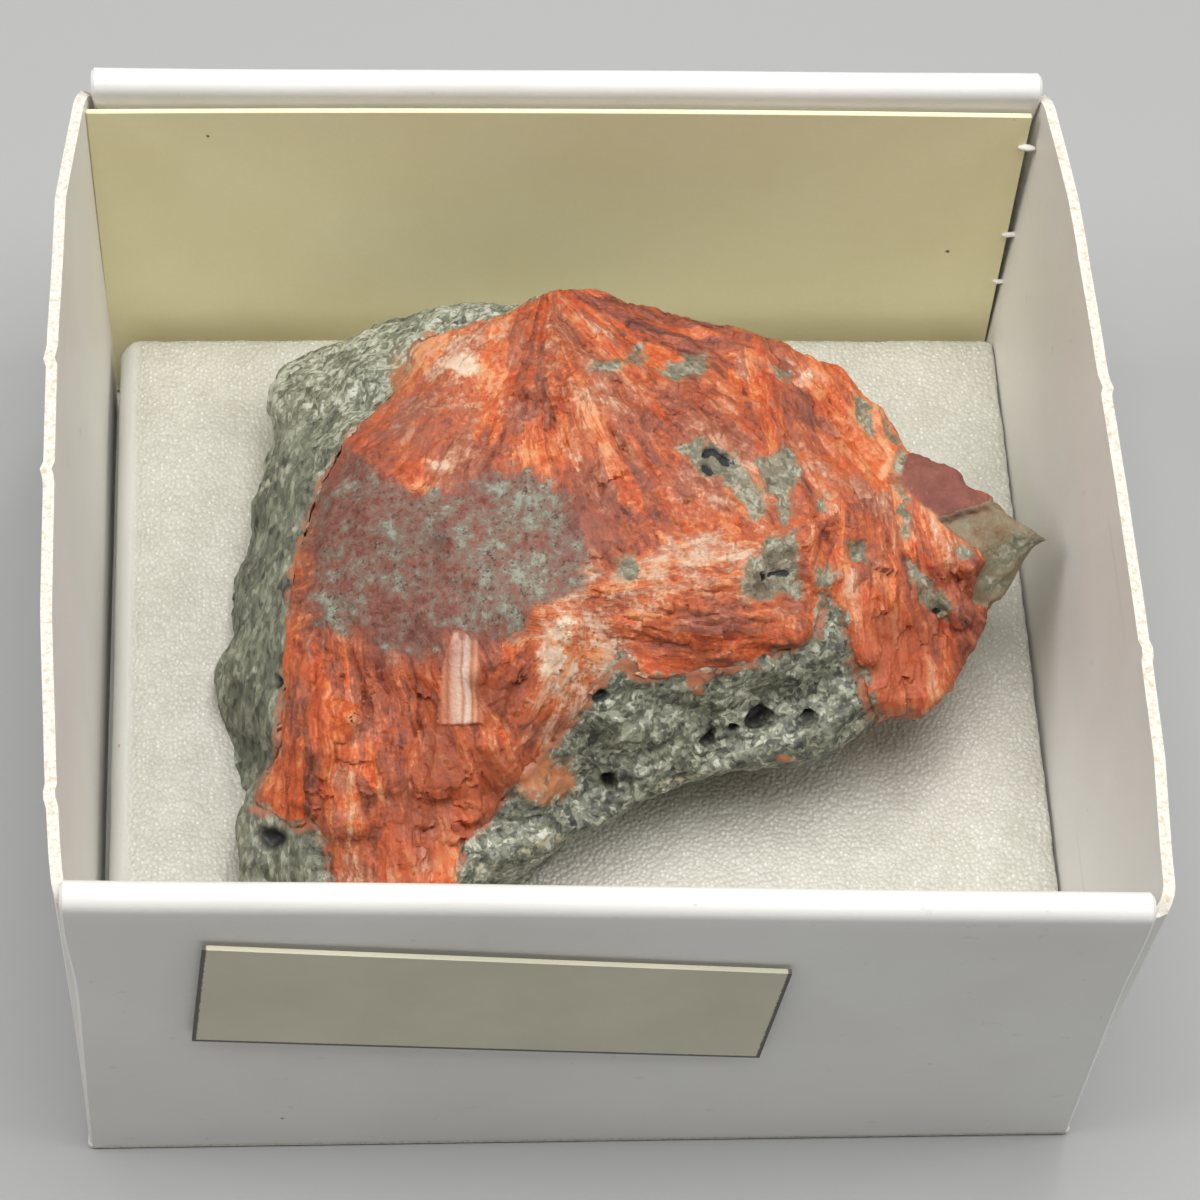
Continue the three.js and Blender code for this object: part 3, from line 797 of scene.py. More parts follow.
# %% Sticker
STICKER = (22.0, 0.2, 7.3)
STICKER_AT = (-4.35, -20.205, 12.9)
STICKER_TILT = 4.2
STICKER_CUTS = 40
sticker = new_box("edge_sticker", middle=(0, 0, 0), size=STICKER)
edit_all(sticker)
bpy.ops.mesh.subdivide(number_cuts=STICKER_CUTS)
done()
points = get_points(sticker)
store(sticker, "across", points[:, 0] / STICKER[0] * 2)
store(sticker, "upward", points[:, 2] / STICKER[2] * 2)
turn = math.radians(STICKER_TILT)
turned = np.stack(
    [
        points[:, 0] * math.cos(turn) + points[:, 2] * math.sin(turn) + STICKER_AT[0],
        points[:, 1] + STICKER_AT[1],
        points[:, 2] * math.cos(turn) - points[:, 0] * math.sin(turn) + STICKER_AT[2],
    ],
    axis=1,
)
set_points(sticker, lean_front(turned))
print("the sticker is", STICKER[0], "x", STICKER[2], "mm and turned by", STICKER_TILT, "degrees")

# %% [markdown]
# The printed line runs down both short sides and along the lower one. The paper has its own
# place across and upwards, from -1 to 1, so the line is simply where that is nearly 1. A little
# noise makes it wobble as ink does.

# %% Sticker material
INK_WOBBLE = 0.012
sticker_paper, tree, shader = new_material("cream_sticker")
place = object_place(tree)
cloud = noise(tree, place, 260, 4)
fibre = noise(tree, place, PAPER_FIBRES_PER_METRE, 3)
colour = ramp(tree, cloud, [(0.25, srgb(206, 200, 176)), (0.75, srgb(218, 212, 190))])
wobble = times_plus(tree, noise(tree, place, 6000, 3), INK_WOBBLE, -INK_WOBBLE / 2)
from_side = maths(tree, "ABSOLUTE", own_value(tree, "across"))
from_side = maths(tree, "ADD", from_side, wobble)
side_line = ramp(tree, from_side, [(0.984, 0.0), (0.988, 1.0)])
from_low = times_plus(tree, own_value(tree, "upward"), -1.0, wobble)
low_line = ramp(tree, from_low, [(0.955, 0.0), (0.965, 1.0)])
line = maths(tree, "MAXIMUM", side_line, low_line)
colour = mix(tree, times(tree, line, 0.85), colour, srgb(52, 48, 44))
tree.links.new(colour, shader.inputs["Base Color"])
shader.inputs["Roughness"].default_value = 0.7
tree.links.new(bump(tree, fibre, PAPER_BUMP[0] * MM, PAPER_BUMP[1]), shader.inputs["Normal"])
sticker.data.materials.append(sticker_paper)
finish_piece(sticker, "sticker_paper", "number_sticker")

# %% [markdown]
# The specimen comes in two pieces, the crust of crystal blades and the rock under it. Each
# starts as a copy of its CAD solid, because the solid already has the right outline and height
# everywhere. The solids keep a small gap, but the real crust has grown on the rock. So both are
# also joined into one smooth skin, and each piece, fattened until it overlaps the other, is laid
# on that skin. Where the two meet, the higher one shows, which gives a ragged natural border.

# %% Copies of the solids
# The height at which the specimen lies on the foam
REST = 5.43
# How far each copy is fattened, and the size of its faces
SKIN_GROWN = (0.22, 0.22)
CRUST_GROWN = (0.30, 0.22)
ROCK_GROWN = (0.28, 0.24)


def fine_copy(names, name, fatten, voxel):
    """One evenly meshed body from CAD solids, grown by a margin in mm"""
    bpy.ops.object.select_all(action="DESELECT")
    for source in [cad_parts[node_name] for node_name in names]:
        piece = bpy.data.objects.new(name, source.data.copy())
        bpy.context.collection.objects.link(piece)
        piece.data.transform(source.matrix_world)
        piece.select_set(True)
        bpy.context.view_layer.objects.active = piece
    if len(names) > 1:
        bpy.ops.object.join()
    piece = bpy.context.view_layer.objects.active
    bpy.ops.object.mode_set(mode="EDIT")
    bpy.ops.mesh.select_all(action="SELECT")
    bpy.ops.mesh.remove_doubles(threshold=0.001 * MM)
    bpy.ops.transform.shrink_fatten(value=fatten * MM)
    done()
    piece.data.materials.clear()
    modify(piece, "REMESH", mode="VOXEL", voxel_size=voxel * MM)
    print(name, "starts with", len(piece.data.polygons), "faces")
    return piece


skin = fine_copy(["stellerite_crust", "matrix_rock"], "specimen_skin", *SKIN_GROWN)
crust = fine_copy(["stellerite_crust"], "stellerite_blades", *CRUST_GROWN)
rock = fine_copy(["matrix_rock"], "grey_rock", *ROCK_GROWN)

# %% [markdown]
# The skin of the whole specimen is smoothed, so that the step between the two solids goes. The
# thin tip at the right end would melt away, so there the crisp shape is kept, and the tip is
# drawn out a little to the right. Where it begins is given in the photograph's pixels.

# %% Skin of the specimen
RIGHT, UP, OUT = VIEW_TURN.T
SKIN_OVER = 0.12
SKIN_ROUNDS = 14
CRISP_SHARE = 0.75
CRISP_ZONE = (890, 925)
TIP_LONGER = 0.75
TIP_ZONE = (985, 1035)
crisp = get_points(skin)
modify(skin, "SMOOTH", factor=0.5, iterations=SKIN_ROUNDS)
soft = get_points(skin)
keep = CRISP_SHARE * step(*CRISP_ZONE, in_photo(crisp)[:, 0])[:, None]
points = soft + keep * (crisp - soft) - SKIN_OVER * get_normals(skin)
points += TIP_LONGER * step(*TIP_ZONE, in_photo(points)[:, 0])[:, None] * RIGHT
set_points(skin, points)
print("the skin has", len(points), "points")

# %% [markdown]
# Only what can be seen from outside needs fine faces. A face shows if a ray from it gets clear
# past both pieces, straight out or towards one of a few open directions. Those faces are
# divided once more, and the hidden ones are thinned out.

# %% Faces that show
LOOKS = [
    Vector(v).normalized()
    for v in ((0, 0, 1), (1, 0, 0.6), (-1, 0, 0.6), (0, 1, 0.6), (0, -1, 0.6))
]
CLEAR = 40.0
# A face that looks down more steeply than this, this near the foam, lies on the foam
LYING = -0.5
NEAR_FOAM = 0.3
# A ray starts this far off its face, and never dips more than this
RAY_START = 0.02
LOWEST_RAY = -0.3
HIDDEN_KEPT = 0.25


def tree_of(piece):
    mesh = bmesh.new()
    mesh.from_mesh(piece.data)
    made = BVHTree.FromBMesh(mesh)
    mesh.free()
    return made


def shows(middle, normal, trees):
    """Whether a place has a clear view outwards, past both pieces and the foam"""
    if normal.z < LYING and middle.z < (REST + NEAR_FOAM) * MM:
        return False
    start = middle + normal * RAY_START * MM
    for look in (normal, *LOOKS):
        ahead = (normal + look).normalized()
        if ahead.z < LOWEST_RAY:
            ahead.z = 0
        if not any(tree.ray_cast(start, ahead, CLEAR * MM)[0] for tree in trees):
            return True
    return False


def split_where_shown(piece, trees):
    only(piece)
    bpy.ops.object.mode_set(mode="EDIT")
    bpy.ops.mesh.select_mode(type="FACE")
    bpy.ops.mesh.select_all(action="DESELECT")
    mesh = bmesh.from_edit_mesh(piece.data)
    for face in mesh.faces:
        face.select_set(shows(face.calc_center_median(), face.normal, trees))
    bmesh.update_edit_mesh(piece.data)
    bpy.ops.mesh.subdivide(number_cuts=1)
    bpy.ops.mesh.select_all(action="INVERT")
    bpy.ops.mesh.decimate(ratio=HIDDEN_KEPT)
    done()
    print(piece.name, "has", len(piece.data.vertices), "points")


both = (tree_of(crust), tree_of(rock))
for piece in (crust, rock):
    split_where_shown(piece, both)

# %% [markdown]
# Now the points that show are laid on the skin. Both pieces lie on it there, one as high as the
# other, so their relief alone decides which is on top.

# %% Pieces laid on the skin
SKIN_REACH = 0.8


def lay_on_skin(piece, trees, skin_tree):
    """Moves the points that show onto the smooth skin of the whole specimen"""
    points = get_points(piece)
    normals = get_normals(piece)
    moved = 0
    for i, (point, normal) in enumerate(zip(points, normals)):
        if shows(Vector(point) * MM, Vector(normal), trees):
            place, _, _, far = skin_tree.find_nearest(Vector(point) * MM)
            if far < SKIN_REACH * MM:
                points[i] = np.array(place) / MM
                moved += 1
    set_points(piece, points)
    print(moved, "points of", piece.name, "lie on the skin")


skin_tree = tree_of(skin)
for piece in (crust, rock):
    lay_on_skin(piece, both, skin_tree)
    modify(piece, "SMOOTH", factor=0.5, iterations=1)
bpy.data.objects.remove(skin)


def depth_to(points, other, reach):
    """1 where a point touches another piece's surface, falling to 0 at a distance in mm"""
    tree = tree_of(other)
    far = [tree.find_nearest(Vector(p) * MM)[3] / MM for p in points]
    return np.clip(1 - np.array(far) / reach, 0, 1)


# %% [markdown]
# The crust is made of flat blades that fan out from a few places, as the fibres of split wood
# do. Where they fan out from, and how far each fan reaches, was read off the photograph, so
# the list below is in its pixels. A point's own direction is the mean of the fans around it.

# %% Which way the blades run
FANS = [
    # where it fans out from, the middle of its reach, the size of its reach
    ((330, 300), (380, 770), 110),
    ((610, 545), (545, 690), 42),
    ((400, 610), (700, 630), 105),
    ((520, 262), (650, 460), 110),
    ((575, 170), (460, 375), 75),
    ((250, 240), (690, 325), 60),
    ((715, 250), (815, 410), 85),
    ((850, 250), (895, 620), 90),
    ((440, 540), (335, 560), 60),
]
PIXELS_PER_MM = 24.8
# Where the surface turns away from the camera, the blades run down its side
STEEP_ZONE = (0.5, -0.3)
STEEP_SHARE = 1.2
# Keeps the noise patterns of two fans apart
FAN_APART = 9.0


def blade_direction(points, normals, pixels):
    flow = np.zeros((len(points), 2))
    for root, middle, reach in FANS:
        weight = np.exp(-(((pixels - middle) / reach) ** 2).sum(axis=1)) + 1e-6
        away = pixels - np.array(root)
        flow += weight[:, None] * away / np.linalg.norm(away, axis=1, keepdims=True)
    flow /= np.linalg.norm(flow, axis=1, keepdims=True)
    ahead = flow[:, :1] * RIGHT - flow[:, 1:] * UP
    steep = step(*STEEP_ZONE, normals @ OUT)
    ahead = ahead - steep[:, None] * OUT * STEEP_SHARE
    ahead -= normals * (normals * ahead).sum(axis=1, keepdims=True)
    return ahead / np.maximum(np.linalg.norm(ahead, axis=1, keepdims=True), 1e-6)


def fan_place(piece, pixels, rough_pixels):
    """Place across and along the fibres at each corner of each face, in mm

    A whole face belongs to one fan, so two fans meet at a clean joint between faces.
    """
    roots = np.array([root for root, _, _ in FANS])
    middles = np.array([middle for _, middle, _ in FANS])
    reaches = np.array([reach for _, _, reach in FANS])
    best = (np.linalg.norm(rough_pixels[:, None, :] - middles, axis=2) / reaches).argmin(axis=1)
    corner_point = np.empty(len(piece.data.loops), np.int32)
    piece.data.loops.foreach_get("vertex_index", corner_point)
    first_corner = np.empty(len(piece.data.polygons), np.int32)
    piece.data.polygons.foreach_get("loop_start", first_corner)
    corners = np.empty(len(piece.data.polygons), np.int32)
    piece.data.polygons.foreach_get("loop_total", corners)
    best = np.repeat(best[corner_point[first_corner]], corners)
    spoke = pixels[corner_point] - roots[best]
    mean_radius = np.linalg.norm(middles - roots, axis=1)[best]
    ahead = (middles - roots)[best]
    turn = np.arctan2(spoke[:, 1], spoke[:, 0]) - np.arctan2(ahead[:, 1], ahead[:, 0])
    turn = (turn + math.pi) % (2 * math.pi) - math.pi
    radius = np.linalg.norm(spoke, axis=1)
    across = turn * mean_radius / PIXELS_PER_MM
    return np.stack([across, radius / PIXELS_PER_MM, best * FAN_APART], axis=1)


print("the blades fan out from", len(FANS), "places")


# %% [markdown]
# Each blade is a lath: flat on top, straight at its sides and cut off at its ends. A few
# thousand of them are strewn over the surface in three sizes, each with a height, a slope and a
# direction of its own. A point of the mesh rises to the highest lath that covers it. That
# gives the steps and the overlaps of real blades, which noise alone never does.

# %% Laths on a surface
# How much laths differ: in direction, slope along, slope across and slant of their ends
LATH_SWING = 0.16
LATH_SLOPE = 0.05
LATH_ROOF = 0.12
LATH_CUT = 0.6
# How fast the surface falls off beside a lath and past its ends
FALL_BESIDE = 1.6
FALL_PAST = 0.9


def laths(points, normals, ahead, count, wide, long, rise, near):
    """Height of the topmost lath at each point, with its number and the place along and across"""
    seeds = rng.choice(len(points), count, replace=False)
    tree = KDTree(count)
    for number, seed in enumerate(seeds):
        tree.insert(points[seed], number)
    tree.balance()
    ids = np.array([[hit[1] for hit in tree.find_n(p, near)] for p in points])
    swing = rng.normal(0, LATH_SWING, count)[:, None]
    side = np.cross(normals[seeds], ahead[seeds])
    turned = ahead[seeds] * np.cos(swing) + side * np.sin(swing)
    side = np.cross(normals[seeds], turned)
    half_wide = wide / 2 * rng.uniform(0.6, 1.5, count)
    half_long = long / 2 * rng.uniform(0.6, 1.4, count)
    height = rng.uniform(-1, 1, count) * rise
    slope = rng.normal(0.0, LATH_SLOPE, count)
    roof = rng.normal(0.0, LATH_ROOF, count)
    cut = rng.normal(0.0, LATH_CUT, count)
    away = points[:, None, :] - points[seeds][ids]
    along = (away * turned[ids]).sum(axis=2)
    across = (away * side[ids]).sum(axis=2)
    over = np.maximum(np.abs(across) - half_wide[ids], 0)
    past = np.maximum(np.abs(along + cut[ids] * across) - half_long[ids], 0)
    level = height[ids] + slope[ids] * along + roof[ids] * across
    level -= FALL_BESIDE * over + FALL_PAST * past
    best = level.argmax(axis=1)
    rows = np.arange(len(points))
    number = ids[rows, best]
    return level[rows, best], number, along[rows, best], across[rows, best]


# %% [markdown]
# The photograph shows many kinds of ground on the crust: a dull maroon patch, grey rock caught
# between the blades, black grains, pale cleavage faces and glassy ones. Each is a named zone
# below, an outline or a few ovals in the photograph's pixels: across, down, half width and half
# height. A zone holds only where the surface faces the camera, so it never smears down a hidden
# side, and its edge is roughened with noise later on.

# %% Zones
PATCH = [(504, 470), (476, 482), (436, 492), (404, 490), (370, 470), (350, 446), (326, 490),
         (308, 530), (304, 566), (312, 590), (312, 626), (340, 632), (368, 632), (404, 652),
         (420, 666), (444, 636), (460, 630), (484, 646), (502, 642), (520, 632), (532, 610),
         (556, 600), (580, 592), (584, 557), (576, 525), (564, 498), (540, 478), (520, 466)]
# Where the crust is a mass of grains and not of fibres
GRANULAR = [(470, 400, 90, 50), (655, 510, 60, 45), (640, 600, 80, 34), (560, 370, 40, 24),
            (760, 640, 70, 20), (590, 650, 40, 40), (660, 420, 50, 30)]
# The greyest part of the patch, and the dusty ground around it
PATCH_CORE = [(505, 565, 95, 85), (345, 610, 22, 16), (425, 560, 60, 50)]
HALO = [(395, 420, 60, 34), (330, 480, 36, 60), (420, 640, 60, 26), (590, 540, 26, 40)]
# The two smooth facets at the right end, and a painted shadow line under the ledge between them
RIGHT_FACET = [(908, 450), (930, 450), (950, 460), (960, 484), (976, 496), (992, 506),
               (965, 515), (943, 523), (920, 508), (898, 483), (904, 473)]
OLIVE_FACET = [(937, 521), (989, 504), (1008, 502), (1028, 508), (1062, 530), (1050, 560),
               (1024, 580), (1004, 592), (984, 606), (970, 600), (984, 559), (978, 550), (955, 537)]
LEDGE_SHADOW = [(946, 521, 9, 3), (959, 517, 9, 3), (972, 513, 8, 2.5), (984, 510, 6, 2)]
TEAL = [(1022, 552, 26, 18), (994, 582, 14, 12), (962, 548, 8, 5)]
GREY_ON_CRUST = [
    [(590, 372), (618, 360), (648, 347), (640, 362), (612, 377)],
    [(656, 368), (681, 366), (690, 352), (700, 358), (707, 352), (704, 378), (680, 383), (660, 377)],
    [(774, 368), (788, 372), (786, 386), (774, 382)],
    [(850, 397), (862, 403), (873, 424), (880, 440), (871, 438), (857, 420)],
    [(880, 415), (894, 424), (911, 450), (908, 476), (900, 480), (893, 470), (898, 450), (884, 430)],
    [(675, 448), (704, 441), (728, 450), (737, 460), (752, 478), (766, 505), (752, 520),
     (736, 500), (722, 480), (700, 474), (690, 460)],
    [(757, 457), (772, 452), (783, 444), (797, 464), (799, 476), (789, 488), (793, 520),
     (783, 526), (777, 506), (764, 494)],
    [(765, 534), (792, 536), (790, 562), (803, 578), (799, 600), (783, 594), (752, 598),
     (740, 590), (742, 565), (757, 556)],
    [(816, 570), (834, 568), (832, 580), (820, 582)],
    [(844, 548), (858, 546), (864, 556), (858, 562), (846, 558)],
    [(812, 494), (825, 492), (826, 507), (814, 508)],
    [(898, 486), (904, 488), (907, 520), (905, 541), (899, 538), (901, 515)],
    [(906, 564), (922, 570), (936, 590), (950, 606), (945, 616), (930, 612), (918, 595)],
    [(613, 558), (635, 554), (637, 572), (625, 584), (615, 575)],
    [(952, 546), (968, 546), (968, 553), (954, 554)],
]
BLACK_SPOTS = [(712, 456, 8, 5), (724, 460, 6, 5), (707, 470, 5, 4), (778, 571, 6, 4),
               (764, 574, 5, 4), (930, 610, 4, 3)]
WHITE_SPOTS = [(619, 370, 6, 4), (693, 451, 9, 5), (800, 383, 12, 6), (884, 455, 4, 20),
               (821, 575, 8, 5), (604, 451, 6, 5), (588, 575, 12, 9), (467, 368, 16, 9),
               (440, 465, 16, 4)]
# The one broad blade that lies bare, its middle and half its width, and pale blades beside it
BROAD_BLADE = [(447, 650), (456, 633), (478, 640), (484, 722), (440, 722)]
BLADE_MIDDLE = 463
BLADE_HALF = 22
PALE_BLADES = [(549, 626), (572, 618), (566, 660), (552, 700), (536, 722), (526, 722), (538, 680)]
# Where the blades are thick and blocky, and where they are clear as glass
BOLD = [(390, 760, 110, 130), (900, 620, 50, 110), (585, 430, 40, 70)]
GLASS = [(892, 655, 36, 52), (500, 690, 26, 22), (420, 830, 34, 50), (505, 790, 38, 44),
         (440, 780, 22, 60)]
# Paler and darker places: across, down, half width, half height, tone
TONES = [
    (455, 365, 55, 28, 0.70), (420, 400, 40, 28, 0.58), (490, 420, 60, 35, 0.50),
    (535, 400, 25, 40, 0.36), (590, 415, 35, 55, 0.66), (570, 330, 45, 20, 0.45),
    (680, 320, 90, 22, 0.34), (650, 360, 60, 16, 0.42), (740, 345, 30, 30, 0.56),
    (800, 400, 45, 40, 0.46), (700, 410, 80, 28, 0.36), (620, 490, 55, 40, 0.36),
    (660, 520, 40, 40, 0.42), (700, 500, 40, 50, 0.62), (840, 480, 40, 60, 0.50),
    (680, 575, 50, 28, 0.74), (610, 610, 40, 30, 0.60), (590, 660, 45, 40, 0.80),
    (720, 630, 70, 26, 0.36), (660, 655, 40, 24, 0.52), (665, 690, 50, 16, 0.46),
    # The right lobe's tone, 0.48 at 895, 620, is set low as painted shade against the side lamps that
    # light its front slope
    (895, 620, 45, 90, 0.48), (930, 525, 22, 25, 0.62), (955, 600, 22, 30, 0.34),
    (330, 480, 40, 60, 0.30), (300, 620, 18, 60, 0.52), (360, 700, 60, 50, 0.48),
    (300, 750, 40, 60, 0.47), (400, 680, 40, 20, 0.40), (385, 800, 40, 60, 0.45),
    (470, 800, 70, 60, 0.46), (500, 680, 40, 40, 0.45), (850, 570, 30, 40, 0.50),
]


print(len(GREY_ON_CRUST), "grey inclusions and", len(TONES), "places with a tone of their own")

# %% [markdown]
# These helpers say how far a point is inside a zone. An outline gives a distance in pixels, an
# oval a share of its radius, and the tone is a mean of the tones of the places around a point.

# %% Helpers for zones
MIDDLE_TONE = 0.5
MIDDLE_WEIGHT = 0.05
# How far noise moves a zone's edge, in pixels, and the size of that noise in mm
RAGGED = 9
RAGGED_SIZE = 1.1


def from_outline(pixels, outline):
    """Pixels inside an outline, and minus the distance outside it"""
    corners = np.array(outline, float)
    inside = np.zeros(len(pixels), bool)
    nearest = np.full(len(pixels), np.inf)
    for start, end in zip(corners, np.roll(corners, -1, axis=0)):
        edge = end - start
        rel = pixels - start
        share = np.clip(rel @ edge / (edge @ edge), 0, 1)
        nearest = np.minimum(nearest, np.linalg.norm(rel - share[:, None] * edge, axis=1))
        crosses = (start[1] > pixels[:, 1]) != (end[1] > pixels[:, 1])
        reach = start[0] + edge[0] * (pixels[:, 1] - start[1]) / (edge[1] if edge[1] else 1e-9)
        inside ^= crosses & (pixels[:, 0] < reach)
    return np.where(inside, nearest, -nearest)


def outlines(pixels, shapes, soft):
    return np.max([step(-soft, soft, from_outline(pixels, shape)) for shape in shapes], axis=0)


def ovals(pixels, shapes, soft):
    found = np.zeros(len(pixels))
    for across, down, wide, high in shapes:
        far = np.hypot((pixels[:, 0] - across) / wide, (pixels[:, 1] - down) / high)
        found = np.maximum(found, step(1 + soft, 1 - soft, far))
    return found


def tone_at(pixels):
    total = np.full(len(pixels), MIDDLE_TONE * MIDDLE_WEIGHT)
    weights = np.full(len(pixels), MIDDLE_WEIGHT)
    for across, down, wide, high, tone in TONES:
        weight = np.exp(-((pixels[:, 0] - across) / wide) ** 2 - ((pixels[:, 1] - down) / high) ** 2)
        total += weight * tone
        weights += weight
    return total / weights


def ragged(points, pixels):
    """Photo pixels shifted by noise, so that a zone's edge follows the grains"""
    shift = [rough_lumps(points, RAGGED_SIZE, seed) for seed in (31, 37)]
    return pixels + RAGGED * np.stack(shift, axis=1)


def partly(pixels, rough_pixels, part):
    """Pixels shifted by only a part of the noise, for a cleaner edge"""
    return pixels + (rough_pixels - pixels) / part


# %% [markdown]
# The specimen stands clear of the foam along its lower front rim, and a soft shadow lies under
# it. Each point near the rim is lifted straight towards the camera. So the rim keeps its place
# in the picture, and only its height changes.

# %% Lifted rim
RIM = [(440, 885), (474, 868), (500, 860), (545, 843), (602, 832), (648, 803), (700, 778),
       (760, 768), (800, 757), (850, 735), (880, 712), (925, 702)]
# How far the lift reaches in pixels, and its height in mm
RIM_REACH = 38
RIM_LIFT = 1.7


def lift_rim(points):
    """Raises the front rim along the lines of sight, so the specimen overhangs the foam there"""
    there_and_back = RIM + RIM[-2:0:-1]
    far = from_outline(in_photo(points), there_and_back)
    share = np.exp(-((far / RIM_REACH) ** 2))[:, None]
    sight = VIEW_FROM - points
    return points + RIM_LIFT * share * sight / np.linalg.norm(sight, axis=1, keepdims=True)


print("the rim is lifted by up to", RIM_LIFT, "mm")

# %% [markdown]
# Each point of the crust gets its zones, from 0 to 1, and keeps them as attributes, which the
# material reads later.

# %% Zones on the crust
FACING_ZONE = (0.0, 0.3)
SIDE_ZONE = (-0.8, -0.4)
points = get_points(crust)
normals = get_normals(crust)
pixels = in_photo(points)
rough_pixels = ragged(points, pixels)
facing = step(*FACING_ZONE, normals @ OUT)
side_too = step(*SIDE_ZONE, normals @ OUT)
patch = facing * outlines(rough_pixels, [PATCH], 16)
grey = facing * outlines(rough_pixels, GREY_ON_CRUST, 8)
maroon = side_too * outlines(partly(pixels, rough_pixels, 3), [RIGHT_FACET], 2)
olive = side_too * outlines(partly(pixels, rough_pixels, 2), [OLIVE_FACET], 3)
blade = facing * outlines(partly(pixels, rough_pixels, 9), [BROAD_BLADE], 1.5)
black = facing * ovals(rough_pixels, BLACK_SPOTS, 0.4)
pale_blades = 0.6 * outlines(rough_pixels, [PALE_BLADES], 10)
by_rock = depth_to(points, rock, 0.7)
zones = {
    "patch": patch, "grey": grey, "maroon": maroon, "olive": olive, "blade": blade,
    "black": black, "by_rock": by_rock,
    "halo": facing * ovals(rough_pixels, HALO, 0.6),
    "pale": facing * np.maximum(pale_blades, ovals(rough_pixels, WHITE_SPOTS, 0.5)),
    "glass": facing * ovals(rough_pixels, GLASS, 0.5),
    "granular": facing * ovals(rough_pixels, GRANULAR, 0.6),
    "core": ovals(rough_pixels, PATCH_CORE, 0.6),
    "teal": ovals(rough_pixels, TEAL, 0.5),
    # The ledge zone is a painted shadow line under the maroon facet's ledge
    "ledge_shadow": ovals(partly(pixels, rough_pixels, 4), LEDGE_SHADOW, 0.8),
    "blade_across": (pixels[:, 0] - BLADE_MIDDLE) / BLADE_HALF / 2 + 0.5,
}
for name, values in zones.items():
    store(crust, name, values)
print("the patch covers", round(100 * float((patch > 0.5).mean()), 1), "% of the crust's points")

# %% [markdown]
# The relief is three sizes of laths on top of each other, with a little noise. Dull ground has
# no laths and more grain. Where the crust meets the rock its relief dies down, so that neither
# piece cuts deep into the other.

# %% Blades of the crust
BIG = dict(count=700, wide=0.9, long=5.5, rise=0.16, near=16)
MID = dict(count=3600, wide=0.34, long=2.8, rise=0.09, near=18)
SMALL = dict(count=14000, wide=0.14, long=1.3, rise=0.045, near=18)
LOWEST = -0.32
BLADE_RISE = 0.25
FACET_RISE = 0.2
# Where the thin tip starts and ends and how far down it lies, in pixels
TIP_POINTS = (1003, 1043)
TIP_DOWN = 536
TIP_SHARP = 0.75
dull = np.clip(patch + grey + maroon + olive, 0, 1)
ahead = blade_direction(points, normals, pixels)
big, big_number, _, _ = laths(points, normals, ahead, **BIG)
mid, mid_number, along, across = laths(points, normals, ahead, **MID)
small, small_number, _, _ = laths(points, normals, ahead, **SMALL)
bold = 0.55 + 0.5 * ovals(pixels, BOLD, 0.5)
grain = 0.05 * rough_lumps(points, 0.5, 51)
rise = (1 - dull) * (bold * big + 0.8 * mid + 0.7 * small) + (0.4 + 1.3 * dull) * grain
rise += 0.14 * lumps(points, 2.6, 53) + 0.1 * np.abs(lumps(points, 1.1, 55)) - 0.05 * patch
rise += 0.26 * (1 - step(0.1, 0.7, normals @ OUT)) * rough_lumps(points, 0.9, 57)
rise += 0.28 * outlines(pixels, [BROAD_BLADE], 2) * facing - 0.12 * black
rise = np.maximum(rise, LOWEST) * (1 - 0.5 * by_rock)
rise = rise * (1 - blade) + BLADE_RISE * blade + FACET_RISE * maroon
points += normals * rise[:, None]
points[:, 2] = np.maximum(points[:, 2], REST)
seen = in_photo(points)
narrow = TIP_SHARP * step(*TIP_POINTS, seen[:, 0]) * (seen[:, 1] - TIP_DOWN) / PIXELS_PER_MM
points += narrow[:, None] * UP
set_points(crust, lift_rim(points))
print("blades rise between", rise.min().round(2), "and", rise.max().round(2), "mm")

# %% [markdown]
# Each lath also gets a tone of its own, paler or darker than its neighbours. The place across
# and along the lath, and the place in its fan, are kept too, for streaks that follow them.

# %% Tones and places along the blades
HIDDEN_TONE = 0.48
LATH_APART = 3.7
# How much more ragged the joints between fans are than the zones' edges
FAN_RAGGED = 3
LATH_TONES = ((BIG, big_number, 0.05), (MID, mid_number, 0.06), (SMALL, small_number, 0.05))
cloudy = HIDDEN_TONE + 0.12 * lumps(points, 3.0, 61)
tone = facing * tone_at(pixels) + (1 - facing) * cloudy
for size, number, amount in LATH_TONES:
    tone += amount * rng.uniform(-1, 1, size["count"])[number]
store(crust, "tone", tone)
store(crust, "fibre", np.stack([across, along, mid_number * LATH_APART], axis=1))
fan = fan_place(crust, pixels, pixels + FAN_RAGGED * (rough_pixels - pixels))
corner_values = crust.data.attributes.new("fan", "FLOAT_VECTOR", "CORNER").data
corner_values.foreach_set("vector", fan.ravel())
print("tones run from", tone.min().round(2), "to", tone.max().round(2))

# %% [markdown]
# The rock broke along its grains, so its relief is lumps of four sizes, with a few round pits
# where gas was trapped. It also has zones: pits, brown stains, the cream rim low at the front,
# the layered left side and the bright upper end.

# %% Grains and pits of the rock
PITS = [(761, 722, 13), (808, 721, 9), (707, 734, 7), (735, 732, 6), (602, 699, 7), (610, 781, 8),
        (280, 679, 7), (270, 836, 13), (570, 295, 8)]
STAINS = [(545, 775, 34, 34), (696, 680, 12, 10), (785, 757, 11, 5), (434, 336, 14, 9),
          (400, 375, 14, 26)]
CREAM_EDGE = [(474, 868), (500, 856), (544, 838), (575, 836), (600, 826), (645, 798), (660, 782),
              (700, 773), (698, 777), (662, 787), (648, 803), (602, 831), (576, 841), (546, 843),
              (502, 861), (476, 873)]
PIT_EDGE = (1.3, 0.5)
PIT_DEEP = 0.4
JOINT_DEEP = 0.05
